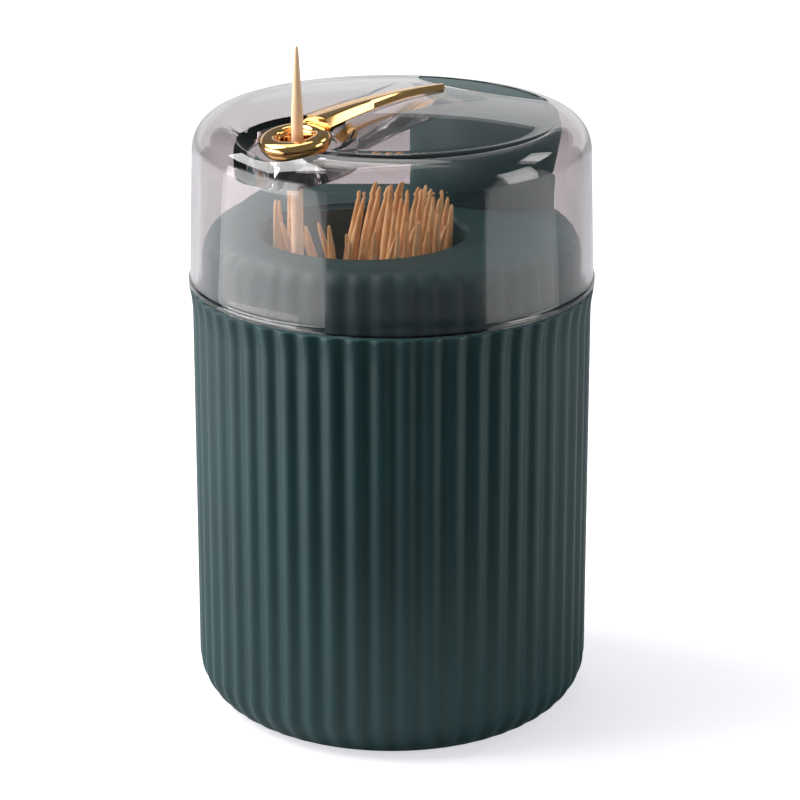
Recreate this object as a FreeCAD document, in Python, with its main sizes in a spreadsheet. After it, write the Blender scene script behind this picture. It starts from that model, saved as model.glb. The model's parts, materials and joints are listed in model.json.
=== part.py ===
import FreeCAD, Part
import math
import os
import Sketcher

# Toothpick dispenser: a fluted cup with a smoked lid, a half-moon press button and a rocker lever
# that lifts one toothpick through a ring in the lid. Millimetres, +Z up, origin at the centre of
# the base. The plane of symmetry is YZ: the ring is at -Y and the button at +Y.

os.makedirs("parts", exist_ok=True)
doc = FreeCAD.newDocument("toothpick_dispenser")

# Driving dimensions, kept in the sheet
SIZES = {
    # housing
    "rim_radius": 35.0, "rim_flare": 0.5, "flare_height": 5.7,
    "foot_reach": 5.0, "corner_height": 7.7, "rim_height": 75.7, "mouth_depth": 19.7,
    "cup_wall": 2.6, "mouth_wall": 2.25, "foot_rim": 0.5, "foot_bore_height": 2.3,
    "foot_cone_height": 5.2, "flute_width": 3.5, "flute_floor": 1.3, "flute_depth": 0.7,
    "block_inside": 2.8, "block_outside": 4.7, "block_width": 6.0, "block_height": 12.0,
    # inner barrel and its deck
    "barrel_fit": 0.15, "barrel_wall": 1.6, "deck_rise": 10.5, "deck_thickness": 1.8,
    "shoulder_radius": 3.8, "barrel_flute_depth": 0.6, "well_lip": 0.7,
    "sleeve_radius": 3.2, "sleeve_length": 8.4,
    # hopper
    "front_room": 5.1, "back_room": 7.3, "hopper_wall": 1.6, "hopper_depth": 59.2,
    "floor_thickness": 1.5, "floor_rise": 4.5, "channel_radius": 1.5,
    "tab_spread": 3.1, "tab_radius": 2.8, "tab_drop": 8.0, "tab_thickness": 2.0,
    # base plate and fasteners
    "plate_gap": 0.4, "plate_thickness": 2.2, "screw_inset": 3.3, "screw_radius": 1.2,
    "screw_head_radius": 2.3, "screw_head_height": 1.3, "screw_length": 8.2, "screw_recess": 0.15,
    "slot_width": 0.7, "slot_depth": 0.7, "screw_gap": 0.05, "pan_head_height": 1.4,
    # press button, tower, rod and spring
    "button_arc": 16.3, "arc_centre_reach": 10.5, "button_reach": 0.16, "skirt_depth": 11.65,
    "button_wall": 1.4, "ceiling_depth": 3.75, "button_gap": 0.35, "tower_wall": 1.5,
    "tower_depth": 5.05, "stroke": 8.0, "rod_inset": 6.0, "rod_radius": 2.0,
    "rod_foot_radius": 3.0, "rod_foot_height": 1.6, "collar_radius": 2.9, "collar_height": 1.3,
    "socket_radius": 1.5, "socket_wall": 1.1, "socket_depth": 6.9,
    "spring_radius": 3.45, "wire_radius": 0.35, "spring_turns": 6,
    # lever, bracket and pivot
    "short_arm": 14.0, "pivot_height": 13.6, "nose_radius": 1.8, "push_nose_radius": 2.4,
    "arm_end_half": 1.1, "lever_width": 4.6,
    "hub_radius": 4.2, "hub_width": 8.0, "web_recess": 1.2, "arm_rib": 0.9, "pivot_radius": 1.5,
    "cheek_thickness": 2.2, "cheek_radius": 4.0, "cheek_gap": 0.4, "bracket_base": 2.4,
    "bracket_reach": 14.0, "bracket_depth": 7.0, "bracket_boss_height": 6.6,
    "bracket_screw_reach": 11.0, "clip_radius": 3.0, "clip_thickness": 0.6, "clip_groove": 0.3,
    # ejector and its guides
    "channel_bite": 0.8, "guide_spread": 6.5, "guide_radius": 1.25, "guide_boss_radius": 2.5,
    "guide_boss_height": 0.8, "guide_seat": 0.6, "guide_socket": 1.0, "foot_thickness": 2.0,
    "foot_depth": 4.6, "guide_sleeve_radius": 2.3, "ejector_radius": 1.0, "ejector_hole_gap": 0.1,
    # lid
    "lid_gap": 0.3, "lid_inset": 0.25, "lid_draft": 0.71, "bead_height": 1.0,
    "bead_step": 0.4, "lid_rise": 23.7, "lid_round": 5.95, "shoulder_reach": 6.2,
    "shoulder_rise": 5.5, "dome_rise": 2.45, "lid_wall": 1.6,
    "boss_radius": 10.0, "boss_depth": 7.65, "boss_slope_share": 0.14, "boss_waist": 7.0,
    "boss_waist_inset": 7.1, "boss_end": 12.6, "boss_end_inset": 3.5, "boss_curve": 60.0,
    # gold trim and grip bush
    "ring_radius": 6.05, "ring_foot_radius": 5.2, "ring_height": 3.1, "ring_edge": 0.8,
    "ring_shift": 0.7, "ring_depth": 1.55, "ring_tilt": 8.6, "ring_mouth": 3.7, "ring_mouth_depth": 0.5,
    "ring_throat": 3.2, "petal_web": 0.9, "petal_radius": 0.95, "petal_circle": 2.1,
    "petal_hole": 1.6, "seat_gap": 0.7, "arm_start_inset": 5.0, "arm_end_inset": 2.9, "arm_root": 3.1,
    "arm_tip": 0.6, "arm_top_root": 1.75, "arm_top_tip": 0.35, "arm_height": 1.45,
    "arm_tip_height": 0.85, "bush_radius": 3.05, "bush_length": 5.2, "bush_depth": 3.7,
    # toothpicks
    "pick_radius": 1.0, "pick_length": 65.0, "pick_taper": 11.0, "pick_tip": 0.3,
    "pick_reach": 50.5, "layer_gap": 0.3, "supply_gap": 0.2,
    # fits
    "running_gap": 0.05, "seat_clearance": 0.1, "contact_gap": 0.2, "overrun": 1.0,
}

sheet = doc.addObject("Spreadsheet::Sheet", "Sizes")
for row, (alias, number) in enumerate(SIZES.items(), start=1):
    sheet.set(f"A{row}", alias)
    sheet.set(f"B{row}", str(number))
    sheet.setAlias(f"B{row}", alias)
doc.recompute()


class Size:
    """A number together with the sheet expression that gives it."""

    def __init__(self, value, text):
        self.value = float(value)
        self.text = text

    def __add__(self, other):
        return combine(self, other, "+", self.value + number_of(other))

    def __radd__(self, other):
        return combine(other, self, "+", number_of(other) + self.value)

    def __sub__(self, other):
        return combine(self, other, "-", self.value - number_of(other))

    def __rsub__(self, other):
        return combine(other, self, "-", number_of(other) - self.value)

    def __mul__(self, other):
        return combine(self, other, "*", self.value * number_of(other))

    __rmul__ = __mul__

    def __truediv__(self, other):
        return combine(self, other, "/", self.value / number_of(other))

    def __neg__(self):
        return Size(-self.value, f"(-1 * {self.text})")


def number_of(item):
    return item.value if isinstance(item, Size) else float(item)


def text_of(item):
    return item.text if isinstance(item, Size) else f"{float(item):.9f}"


def combine(left, right, sign, value):
    return Size(value, f"({text_of(left)} {sign} {text_of(right)})")


def root_of(size):
    return Size(math.sqrt(size.value), f"sqrt({size.text})")


class Names:
    """Gives each sheet cell as a Size, by its alias."""

    def __getattr__(self, alias):
        return Size(sheet.get(alias), f"Sizes.{alias}")


S = Names()


# Drawing and solid helpers
def bind(thing, name, size):
    """Ties a property to the sheet; a plain number is only set."""
    thing.setExpression(name, text_of(size))


def locate(thing, x=0, y=0, z=0):
    for axis, size in zip("xyz", (x, y, z)):
        if isinstance(size, Size):
            bind(thing, f"Placement.Base.{axis}", size)


def arc_middle(start, end, radius):
    """Middle of an arc from start to end; a positive radius bulges to the right of the way."""
    across = end - start
    half = across.Length / 2
    right = FreeCAD.Vector(across.y, -across.x, 0).normalize()
    reach = abs(radius) - math.sqrt(max(radius * radius - half * half, 0))
    return (start + end) / 2 + right * math.copysign(reach, radius)


def rounded(start, end, radius, steps):
    """Corners of a faceted arc between two points; it bulges to the right of the way."""
    step_x, step_y = end[0] - start[0], end[1] - start[1]
    square = step_x * step_x + step_y * step_y
    chord = root_of(square)
    fall = root_of(radius * radius - square / 4)
    corners = []
    for step in range(1, steps):
        share = step / steps
        rise = root_of(radius * radius - square * (share - 0.5) ** 2) - fall
        corners.append((start[0] + step_x * share + step_y / chord * rise,
                        start[1] + step_y * share - step_x / chord * rise))
    return corners


def outline(sketch, points, arcs=None):
    """Closed outline through points, each bound to the sheet; arcs maps a side to its radius."""
    arcs = arcs or {}
    corners = [FreeCAD.Vector(number_of(x), number_of(y), 0) for x, y in points]
    first, last = [], []
    for side, start in enumerate(corners):
        end = corners[(side + 1) % len(corners)]
        if side in arcs:
            radius = number_of(arcs[side])
            middle = arc_middle(start, end, radius)
            tail, head = (start, end) if radius > 0 else (end, start)
            index = sketch.addGeometry(Part.Arc(tail, middle, head))
            forward = (sketch.Geometry[index].StartPoint - start).Length < (
                sketch.Geometry[index].EndPoint - start).Length
        else:
            index = sketch.addGeometry(Part.LineSegment(start, end))
            forward = True
        first.append((index, 1 if forward else 2))
        last.append((index, 2 if forward else 1))
    for side, (x, y) in enumerate(points):
        sketch.addConstraint(Sketcher.Constraint("Coincident", *last[side - 1], *first[side]))
        pin_point(sketch, first[side], x, y)
    for side, radius in arcs.items():
        index = sketch.addConstraint(
            Sketcher.Constraint("Radius", first[side][0], abs(number_of(radius))))
        positive = radius if number_of(radius) > 0 else -radius
        sketch.setExpression(f"Constraints[{index}]", text_of(positive))


def pin_point(sketch, point, x, y):
    """Fixes a point of a sketch at bound distances from the sketch's origin."""
    for kind, axis, size in (("DistanceX", -2, x), ("DistanceY", -1, y)):
        if isinstance(size, Size):
            index = sketch.addConstraint(
                Sketcher.Constraint(kind, -1, 1, *point, size.value))
            sketch.setExpression(f"Constraints[{index}]", size.text)
        else:
            sketch.addConstraint(Sketcher.Constraint("PointOnObject", *point, axis))


def circle(sketch, x, y, radius):
    spot = FreeCAD.Vector(number_of(x), number_of(y), 0)
    index = sketch.addGeometry(Part.Circle(spot, FreeCAD.Vector(0, 0, 1), number_of(radius)))
    pin_point(sketch, (index, 3), x, y)
    tie = sketch.addConstraint(Sketcher.Constraint("Radius", index, number_of(radius)))
    sketch.setExpression(f"Constraints[{tie}]", text_of(radius))


TURNS = {
    "XY": FreeCAD.Rotation(),
    "XZ": FreeCAD.Rotation(FreeCAD.Vector(1, 0, 0), 90),
    "YZ": FreeCAD.Rotation(FreeCAD.Vector(1, 1, 1), 120),
}


def free_sketch(name, plane):
    sketch = doc.addObject("Sketcher::SketchObject", name)
    sketch.Placement = FreeCAD.Placement(FreeCAD.Vector(), TURNS[plane])
    return sketch


def turned(name, points, arcs=None, x=0, y=0):
    """Solid of revolution about a vertical axis through (x, y)."""
    sketch = free_sketch(f"{name}_profile", "XZ")
    outline(sketch, points, arcs)
    solid = doc.addObject("Part::Revolution", name)
    solid.Source = sketch
    solid.Axis = (0, 0, 1)
    solid.Angle = 360
    solid.Solid = True
    locate(solid, x, y)
    return solid


def prism(name, points, arcs, low, high):
    """Upright prism over a plan outline, from low to high."""
    sketch = free_sketch(f"{name}_plan", "XY")
    outline(sketch, points, arcs)
    return extruded(name, sketch, low, high)


def extruded(name, sketch, low, high):
    locate(sketch, z=low)
    solid = doc.addObject("Part::Extrusion", name)
    solid.Base = sketch
    solid.DirMode = "Custom"
    solid.Dir = (0, 0, 1)
    solid.Solid = True
    bind(solid, "LengthFwd", high - low)
    return solid


def side_prism(name, points, arcs, half_width):
    """Prism along X over a side outline in (y, z), half to each side."""
    sketch = free_sketch(f"{name}_side", "YZ")
    outline(sketch, points, arcs)
    solid = doc.addObject("Part::Extrusion", name)
    solid.Base = sketch
    solid.DirMode = "Custom"
    solid.Dir = (1, 0, 0)
    solid.Solid = True
    bind(solid, "LengthFwd", half_width)
    bind(solid, "LengthRev", half_width)
    return solid


def cylinder(name, radius, low, high, x=0, y=0):
    solid = doc.addObject("Part::Cylinder", name)
    bind(solid, "Radius", radius)
    bind(solid, "Height", high - low)
    locate(solid, x, y, low)
    return solid


def cross_cylinder(name, radius, half_length, y, z, x=0):
    """Cylinder along X, half to each side of x."""
    solid = doc.addObject("Part::Cylinder", name)
    bind(solid, "Radius", radius)
    bind(solid, "Height", 2 * half_length)
    solid.Placement = FreeCAD.Placement(
        FreeCAD.Vector(), FreeCAD.Rotation(FreeCAD.Vector(0, 1, 0), 90))
    locate(solid, x - half_length, y, z)
    return solid


def block(name, low_corner, high_corner):
    solid = doc.addObject("Part::Box", name)
    for side, low, high in zip(("Length", "Width", "Height"), low_corner, high_corner):
        bind(solid, side, high - low)
    locate(solid, *low_corner)
    return solid


def cut(name, base, *tools):
    solid = doc.addObject("Part::Cut", name)
    solid.Base = base
    solid.Tool = tools[0] if len(tools) == 1 else fuse(f"{name}_tools", *tools)
    return solid


def fuse(name, *shapes):
    solid = doc.addObject("Part::MultiFuse", name)
    solid.Shapes = list(shapes)
    return solid


def common(name, *shapes):
    solid = doc.addObject("Part::MultiCommon", name)
    solid.Shapes = list(shapes)
    return solid


def group(name, solids):
    """Identical separate solids that share one node."""
    gathered = doc.addObject("Part::Compound", name)
    gathered.Links = list(solids)
    return gathered


def around(count, start=0.0):
    """Unit directions of count equal steps round a circle."""
    for step in range(count):
        angle = math.radians(start + 360.0 * step / count)
        yield step, math.cos(angle), math.sin(angle)


def new_body(name):
    body = doc.addObject("PartDesign::Body", name)
    body.Label = name
    return body


def body_sketch(body, role, name):
    sketch = body.newObject("Sketcher::SketchObject", name)
    plane = next(item for item in body.Origin.OriginFeatures if item.Role == role)
    sketch.AttachmentSupport = [(plane, "")]
    sketch.MapMode = "FlatFace"
    return sketch


def feature(body, kind, name, sketch):
    made = body.newObject(f"PartDesign::{kind}", name)
    made.Profile = sketch
    sketch.Visibility = False
    return made


def volume_drop(body, before, what):
    """A cut that removes nothing points the wrong way, so it stops the build."""
    doc.recompute()
    if body.Shape.Volume >= before:
        raise RuntimeError(f"{what} removed nothing")
    return body.Shape.Volume


NODES = []


def node(solid, name):
    solid.Label = name
    NODES.append(solid)
    return solid


# Sizes that follow from the driving ones
neck_radius = S.rim_radius - S.rim_flare
base_radius = neck_radius - S.foot_reach
foot_bore = base_radius - S.foot_rim
housing_bore = neck_radius - S.cup_wall
mouth_bore = S.rim_radius - S.mouth_wall
flare_start = S.rim_height - S.flare_height
plate_radius = foot_bore - S.plate_gap
screw_circle = foot_bore - S.screw_inset
block_inner = screw_circle - S.block_inside
block_outer = screw_circle + S.block_outside
barrel_radius = mouth_bore - S.barrel_fit
deck_height = S.rim_height + S.deck_rise
tab_height = deck_height - S.deck_thickness - S.tab_drop
ledge_height = S.rim_height - S.mouth_depth
lid_low = S.rim_height + S.lid_gap
lid_low_radius = S.rim_radius - S.lid_inset
lid_top_radius = lid_low_radius - S.lid_draft
lid_shoulder = lid_low + S.lid_rise
dome_edge_radius = lid_top_radius - S.shoulder_reach
dome_edge = lid_shoulder + S.shoulder_rise
dome_top = dome_edge + S.dome_rise
boss_height = dome_top - S.boss_depth
ring_top = dome_top - S.ring_depth
bush_high = ring_top - S.bush_depth
bush_low = bush_high - S.bush_length
button_outer = dome_edge_radius + S.button_reach
button_skirt_low = dome_top - S.skirt_depth
button_ceiling = dome_top - S.ceiling_depth
tower_top = dome_top - S.tower_depth
rod_offset = button_outer - S.rod_inset
button_arc_centre = rod_offset + S.arc_centre_reach
pivot_offset = rod_offset - S.short_arm
cup_radius = (barrel_radius - S.barrel_wall - S.front_room + rod_offset - S.sleeve_radius - S.back_room) / 2
well_radius = cup_radius - S.hopper_wall
well_offset = barrel_radius - S.barrel_wall - S.front_room - cup_radius
tab_reach = cup_radius + S.tab_spread
pick_offset = well_offset + well_radius - S.channel_bite
ring_offset = pick_offset + S.ring_shift
hopper_base = deck_height - S.hopper_depth
floor_front = hopper_base + S.floor_thickness
floor_back = floor_front + S.floor_rise
boss_waist_offset = pick_offset - S.boss_waist_inset
boss_end_offset = rod_offset - S.boss_end_inset
arm_start = ring_offset - S.arm_start_inset
arm_end = button_arc_centre - S.button_arc - S.arm_end_inset
pick_low = ring_top - S.pick_reach
pick_pitch = 2 * S.pick_radius + S.layer_gap


# Housing: a thin fluted cup. The wall, the rounded foot and the flared rim are one turned
# profile; each flute is a straight channel up the wall and one along each step of the foot.
FLUTES = 52
DIAGONAL = 45.0
foot_step = neck_radius - base_radius
foot_round = (foot_step * foot_step + S.corner_height * S.corner_height) / (2 * foot_step)


def flute_section(sketch, wall_radius, depth):
    """Channel with a flat floor and two flanks that run on past the wall."""
    floor_half = S.flute_floor / 2
    flank = (S.flute_width - S.flute_floor) / 2 / depth
    mouth_half = floor_half + flank * (depth + S.overrun)
    outline(sketch, [
        (wall_radius - depth, -floor_half), (wall_radius + S.overrun, -mouth_half),
        (wall_radius + S.overrun, mouth_half), (wall_radius - depth, floor_half),
    ])


housing = new_body("outer_body")
profile = body_sketch(housing, "XZ_Plane", "housing_profile")
foot_edge = (base_radius, 0)
foot_top = (neck_radius, S.corner_height)
foot_line = [foot_edge, *rounded(foot_edge, foot_top, foot_round, 3), foot_top]
outline(profile, [
    (foot_bore, 0), *foot_line, (neck_radius, flare_start),
    (S.rim_radius, S.rim_height), (mouth_bore, S.rim_height),
    (mouth_bore, ledge_height), (housing_bore, ledge_height),
    (housing_bore, S.foot_cone_height), (foot_bore, S.foot_bore_height),
])
turn = feature(housing, "Revolution", "housing_turn", profile)
turn.ReferenceAxis = (profile, ["V_Axis"])
turn.Angle = 360
doc.recompute()

blocks = body_sketch(housing, "XY_Plane", "screw_blocks")
half_block = S.block_width / 2
outline(blocks, [
    (block_inner, -half_block), (block_outer, -half_block),
    (block_outer, half_block), (block_inner, half_block),
])
circle(blocks, screw_circle, 0, S.screw_radius + S.screw_gap)
blocks.AttachmentOffset = FreeCAD.Placement(
    FreeCAD.Vector(), FreeCAD.Rotation(FreeCAD.Vector(0, 0, 1), DIAGONAL))
bind(blocks, "AttachmentOffset.Base.z", S.foot_bore_height)
block_pad = feature(housing, "Pad", "screw_block_pad", blocks)
bind(block_pad, "Length", S.block_height - S.foot_bore_height)
block_ring = housing.newObject("PartDesign::PolarPattern", "screw_block_ring")
block_ring.Originals = [block_pad]
block_ring.Axis = (blocks, ["N_Axis"])
block_ring.Angle = 360
block_ring.Occurrences = 4
housing.Tip = block_ring
doc.recompute()

channel = body_sketch(housing, "XY_Plane", "flute_section")
flute_section(channel, neck_radius, S.flute_depth)
bind(channel, "AttachmentOffset.Base.z", S.corner_height)
flute_cut = feature(housing, "Pocket", "flute_cut", channel)
flute_cut.Reversed = True
bind(flute_cut, "Length", S.rim_height - S.corner_height + S.overrun)
volume = volume_drop(housing, block_ring.Shape.Volume, "flute_cut")

foot_cuts = []
for step, (start, end) in enumerate(zip(foot_line, foot_line[1:])):
    way_x, way_z = end[0] - start[0], end[1] - start[1]
    length = root_of(way_x * way_x + way_z * way_z)
    back = S.flute_depth / length
    section = body_sketch(housing, "XY_Plane", f"foot_flute_section_{step}")
    flute_section(section, 0, S.flute_depth)
    section.AttachmentOffset = FreeCAD.Placement(
        FreeCAD.Vector(), FreeCAD.Rotation(FreeCAD.Vector(0, 1, 0), 1))
    bind(section, "AttachmentOffset.Rotation.Angle",
         Size(math.degrees(math.atan(way_x.value / way_z.value)),
              f"atan({way_x.text} / {way_z.text})"))
    bind(section, "AttachmentOffset.Base.x", start[0] - way_x * back)
    bind(section, "AttachmentOffset.Base.z", start[1] - way_z * back)
    foot_cut = feature(housing, "Pocket", f"foot_flute_cut_{step}", section)
    foot_cut.Reversed = True
    bind(foot_cut, "Length", length + S.flute_depth)
    volume = volume_drop(housing, volume, f"foot_flute_cut_{step}")
    foot_cuts.append(foot_cut)

flutes = housing.newObject("PartDesign::PolarPattern", "flutes")
flutes.Originals = [flute_cut, *foot_cuts]
flutes.Axis = (channel, ["N_Axis"])
flutes.Angle = 360
flutes.Occurrences = FLUTES
housing.Tip = flutes
volume_drop(housing, volume, "flutes")
node(housing, "outer_body")


# Inner barrel: a fluted sleeve that stands on the housing's ledge, with a rounded shoulder, a
# flat deck, the round well and the guide sleeve of the push rod.
barrel = new_body("inner_barrel")
barrel_bore = barrel_radius - S.barrel_wall
shoulder_low = deck_height - S.shoulder_radius
deck_under = deck_height - S.deck_thickness
profile = body_sketch(barrel, "XZ_Plane", "barrel_profile")
shoulder_foot = (barrel_radius, shoulder_low)
shoulder_top = (barrel_radius - S.shoulder_radius, deck_height)
outline(profile, [
    (barrel_bore, ledge_height), (barrel_radius, ledge_height),
    shoulder_foot, *rounded(shoulder_foot, shoulder_top, S.shoulder_radius, 3), shoulder_top,
    (0, deck_height), (0, deck_under),
    (barrel_bore - S.barrel_wall, deck_under), (barrel_bore, shoulder_low),
])
turn = feature(barrel, "Revolution", "barrel_turn", profile)
turn.ReferenceAxis = (profile, ["V_Axis"])
turn.Angle = 360
doc.recompute()

tab_spots = [
    (name, tab_x * tab_reach, tab_y * tab_reach - well_offset)
    for name, tab_x, tab_y in around(3, start=90.0)
]
tab_top = tab_height + S.tab_thickness
bosses = body_sketch(barrel, "XY_Plane", "deck_bosses")
circle(bosses, 0, rod_offset, S.sleeve_radius)
bind(bosses, "AttachmentOffset.Base.z", deck_under - S.sleeve_length)
sleeve = feature(barrel, "Pad", "rod_sleeve", bosses)
bind(sleeve, "Length", S.sleeve_length + S.deck_thickness / 2)
pegs = body_sketch(barrel, "XY_Plane", "hopper_pegs")
for spot, tab_x, tab_y in tab_spots:
    circle(pegs, tab_x, tab_y, S.tab_radius)
bind(pegs, "AttachmentOffset.Base.z", tab_top)
peg_pad = feature(barrel, "Pad", "hopper_peg_pad", pegs)
bind(peg_pad, "Length", deck_under + S.deck_thickness / 2 - tab_top)
doc.recompute()
volume = barrel.Shape.Volume

holes = body_sketch(barrel, "XY_Plane", "well_and_rod_holes")
circle(holes, 0, -well_offset, well_radius)
circle(holes, 0, rod_offset, S.rod_radius + S.running_gap)
hole_cut = feature(barrel, "Pocket", "well_and_rod_cut", holes)
hole_cut.Reversed = True
bind(hole_cut, "Length", deck_height + S.overrun)
volume = volume_drop(barrel, volume, "well_and_rod_cut")
notch = body_sketch(barrel, "XY_Plane", "pick_notch")
circle(notch, 0, -pick_offset, S.channel_radius)
notch_cut = feature(barrel, "Pocket", "pick_notch_cut", notch)
notch_cut.Reversed = True
bind(notch_cut, "Length", deck_height + S.overrun)
volume = volume_drop(barrel, volume, "pick_notch_cut")
pilots = body_sketch(barrel, "XY_Plane", "peg_pilots")
for spot, tab_x, tab_y in tab_spots:
    circle(pilots, tab_x, tab_y, S.screw_radius + S.screw_gap)
pilot_cut = feature(barrel, "Pocket", "peg_pilot_cut", pilots)
pilot_cut.Reversed = True
bind(pilot_cut, "Length", deck_under)
volume = volume_drop(barrel, volume, "peg_pilot_cut")

channel = body_sketch(barrel, "XY_Plane", "barrel_flute_section")
flute_section(channel, barrel_radius, S.barrel_flute_depth)
barrel_cut = feature(barrel, "Pocket", "barrel_flute_cut", channel)
barrel_cut.Reversed = True
bind(barrel_cut, "Length", deck_height + S.overrun)
volume = volume_drop(barrel, volume, "barrel_flute_cut")
barrel_flutes = barrel.newObject("PartDesign::PolarPattern", "barrel_flutes")
barrel_flutes.Originals = [barrel_cut]
barrel_flutes.Axis = (channel, ["N_Axis"])
barrel_flutes.Angle = 360
barrel_flutes.Occurrences = FLUTES
barrel.Tip = barrel_flutes
volume_drop(barrel, volume, "barrel_flutes")
rim_edges = [
    f"Edge{index}" for index, edge in enumerate(barrel.Shape.Edges, start=1)
    if isinstance(edge.Curve, Part.Circle)
    and abs(edge.Curve.Radius - well_radius.value) < 1e-6
    and abs(edge.Curve.Center.z - deck_height.value) < 1e-6
]
lip = barrel.newObject("PartDesign::Chamfer", "well_lip")
lip.Base = (barrel_flutes, rim_edges)
bind(lip, "Size", S.well_lip)
barrel.Tip = lip
node(barrel, "inner_barrel")


# Hopper: a cup under the well with a sloping floor, a half-round channel at its lowest side where
# one toothpick stands over the ejector, three screw tabs and two sockets for the guide rods.
cup_top = deck_under
floor_slope = (floor_back - floor_front) / (2 * well_radius)
cup = cylinder("hopper_cup", cup_radius, hopper_base, cup_top, 0, -well_offset)
hollow = common(
    "hopper_hollow",
    cylinder("hopper_bore", well_radius, hopper_base, cup_top + S.overrun, 0, -well_offset),
    side_prism("hopper_wedge", [
        (-well_offset - well_radius, floor_front),
        (well_radius - well_offset, floor_back),
        (well_radius - well_offset, cup_top + S.overrun),
        (-well_offset - well_radius, cup_top + S.overrun),
    ], None, cup_radius),
)
pick_channel = cylinder(
    "pick_channel", S.channel_radius, floor_front, cup_top + S.overrun, 0, -pick_offset)
ejector_hole = cylinder(
    "ejector_hole", S.ejector_radius + S.ejector_hole_gap, hopper_base - S.overrun,
    floor_front + S.overrun, 0, -pick_offset)


def tab_link(spot):
    """Web from the cup's wall to the middle of a screw tab."""
    way_x, way_y = [item[1:] for item in around(3, start=90.0)][spot]
    half = S.tab_radius
    start = well_radius
    link = doc.addObject("Part::Box", f"tab_link_{spot}")
    bind(link, "Length", tab_reach - start)
    bind(link, "Width", 2 * half)
    bind(link, "Height", S.tab_thickness)
    link.Placement = FreeCAD.Placement(FreeCAD.Vector(), FreeCAD.Rotation(
        FreeCAD.Vector(0, 0, 1), math.degrees(math.atan2(way_y, way_x))))
    locate(link, way_x * start + way_y * half, way_y * start - way_x * half - well_offset,
           tab_height)
    return link


tabs, tab_holes = [], []
for spot, tab_x, tab_y in tab_spots:
    tabs.append(cylinder(f"tab_{spot}", S.tab_radius, tab_height, tab_top, tab_x, tab_y))
    tabs.append(tab_link(spot))
    tab_holes.append(cylinder(
        f"tab_hole_{spot}", S.screw_radius + S.screw_gap, tab_height - S.overrun,
        tab_top + S.overrun, tab_x, tab_y))
sockets = [
    cylinder(f"rod_socket_{side}", S.guide_radius + S.running_gap, hopper_base - S.overrun,
             hopper_base + S.guide_socket, way * S.guide_spread, -pick_offset)
    for side, way in (("left", -1), ("right", 1))
]
node(cut("hopper", fuse("hopper_solid", cup, *tabs), hollow, pick_channel, ejector_hole,
         *tab_holes, *sockets), "hopper")


# Fasteners
def flat_head_screw(name, x, y, head_low, head_height, reach):
    """Self-tapping screw, head down, with a crossed slot."""
    head_high = head_low + head_height
    head = cylinder(f"{name}_head", S.screw_head_radius, head_low, head_high, x, y)
    shank = cylinder(f"{name}_shank", S.screw_radius, head_high, head_high + reach, x, y)
    return cut(name, fuse(f"{name}_blank", head, shank), *cross_slot(name, x, y, head_low))


def cross_slot(name, x, y, low):
    half = S.slot_width / 2
    reach = S.screw_radius
    high = low + S.slot_depth
    return [
        block(f"{name}_slot_x", (x - reach, y - half, low - S.overrun), (x + reach, y + half, high)),
        block(f"{name}_slot_y", (x - half, y - reach, low - S.overrun), (x + half, y + reach, high)),
    ]


screw_spots = [
    (f"base_screw_{spot}", way_x * screw_circle, way_y * screw_circle)
    for spot, way_x, way_y in around(4, start=DIAGONAL)
]
screw_spots += [
    ("bracket_screw_left", -S.bracket_screw_reach, pivot_offset),
    ("bracket_screw_right", S.bracket_screw_reach, pivot_offset),
]
screw_reach = S.screw_length - S.screw_head_height
node(group("base_screws", [
    flat_head_screw(*spot, S.screw_recess, S.screw_head_height, screw_reach - S.screw_recess)
    for spot in screw_spots
]), "base_screws")
node(group("hopper_screws", [
    flat_head_screw(f"hopper_screw_{spot}", tab_x, tab_y, tab_height - S.pan_head_height,
                    S.pan_head_height, screw_reach)
    for spot, tab_x, tab_y in tab_spots
]), "hopper_screws")


# Base plate: a disc with counterbored holes and two bosses for the guide rods
plate = cylinder("plate_disc", plate_radius, 0, S.plate_thickness)
plate_cuts = []
for name, spot_x, spot_y in screw_spots:
    plate_cuts.append(cylinder(
        f"{name}_hole", S.screw_radius + S.screw_gap, -S.overrun, S.plate_thickness + S.overrun,
        spot_x, spot_y))
    head_room = S.screw_head_radius + 2 * S.screw_gap
    plate_cuts.append(cylinder(
        f"{name}_sink", head_room, -S.overrun, S.screw_recess + S.screw_head_height,
        spot_x, spot_y))
guide_bosses = []
for side, way in (("left", -1), ("right", 1)):
    guide_bosses.append(cylinder(
        f"guide_boss_{side}", S.guide_boss_radius, 0,
        S.plate_thickness + S.guide_boss_height, way * S.guide_spread, -pick_offset))
    plate_cuts.append(cylinder(
        f"guide_seat_{side}", S.guide_radius, S.guide_seat,
        S.plate_thickness + S.guide_boss_height + S.overrun,
        way * S.guide_spread, -pick_offset))
node(cut("base_plate", fuse("plate_blank", plate, *guide_bosses), *plate_cuts), "base_plate")


# Rocker lever: a hub, two tapering arms with recessed webs and a round nose at each end. The
# button's short arm and the ejector's long arm swing equally about the level, so the ends stay
# under the rod and the pin.
long_arm = pick_offset + pivot_offset
half_lift = S.stroke / 2 * (long_arm / S.short_arm)
tilt_text = f"asin({half_lift.text} / {long_arm.text})"
TILT = math.degrees(math.asin(half_lift.value / long_arm.value))

lever_plan = [
    (-long_arm, -S.arm_end_half), (0, -S.hub_radius + S.arm_rib), (S.short_arm, -S.arm_end_half),
    (S.short_arm, S.arm_end_half), (0, S.hub_radius - S.arm_rib), (-long_arm, S.arm_end_half),
]
half_lever = S.lever_width / 2
arms = side_prism("lever_arms", lever_plan, None, half_lever)


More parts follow.
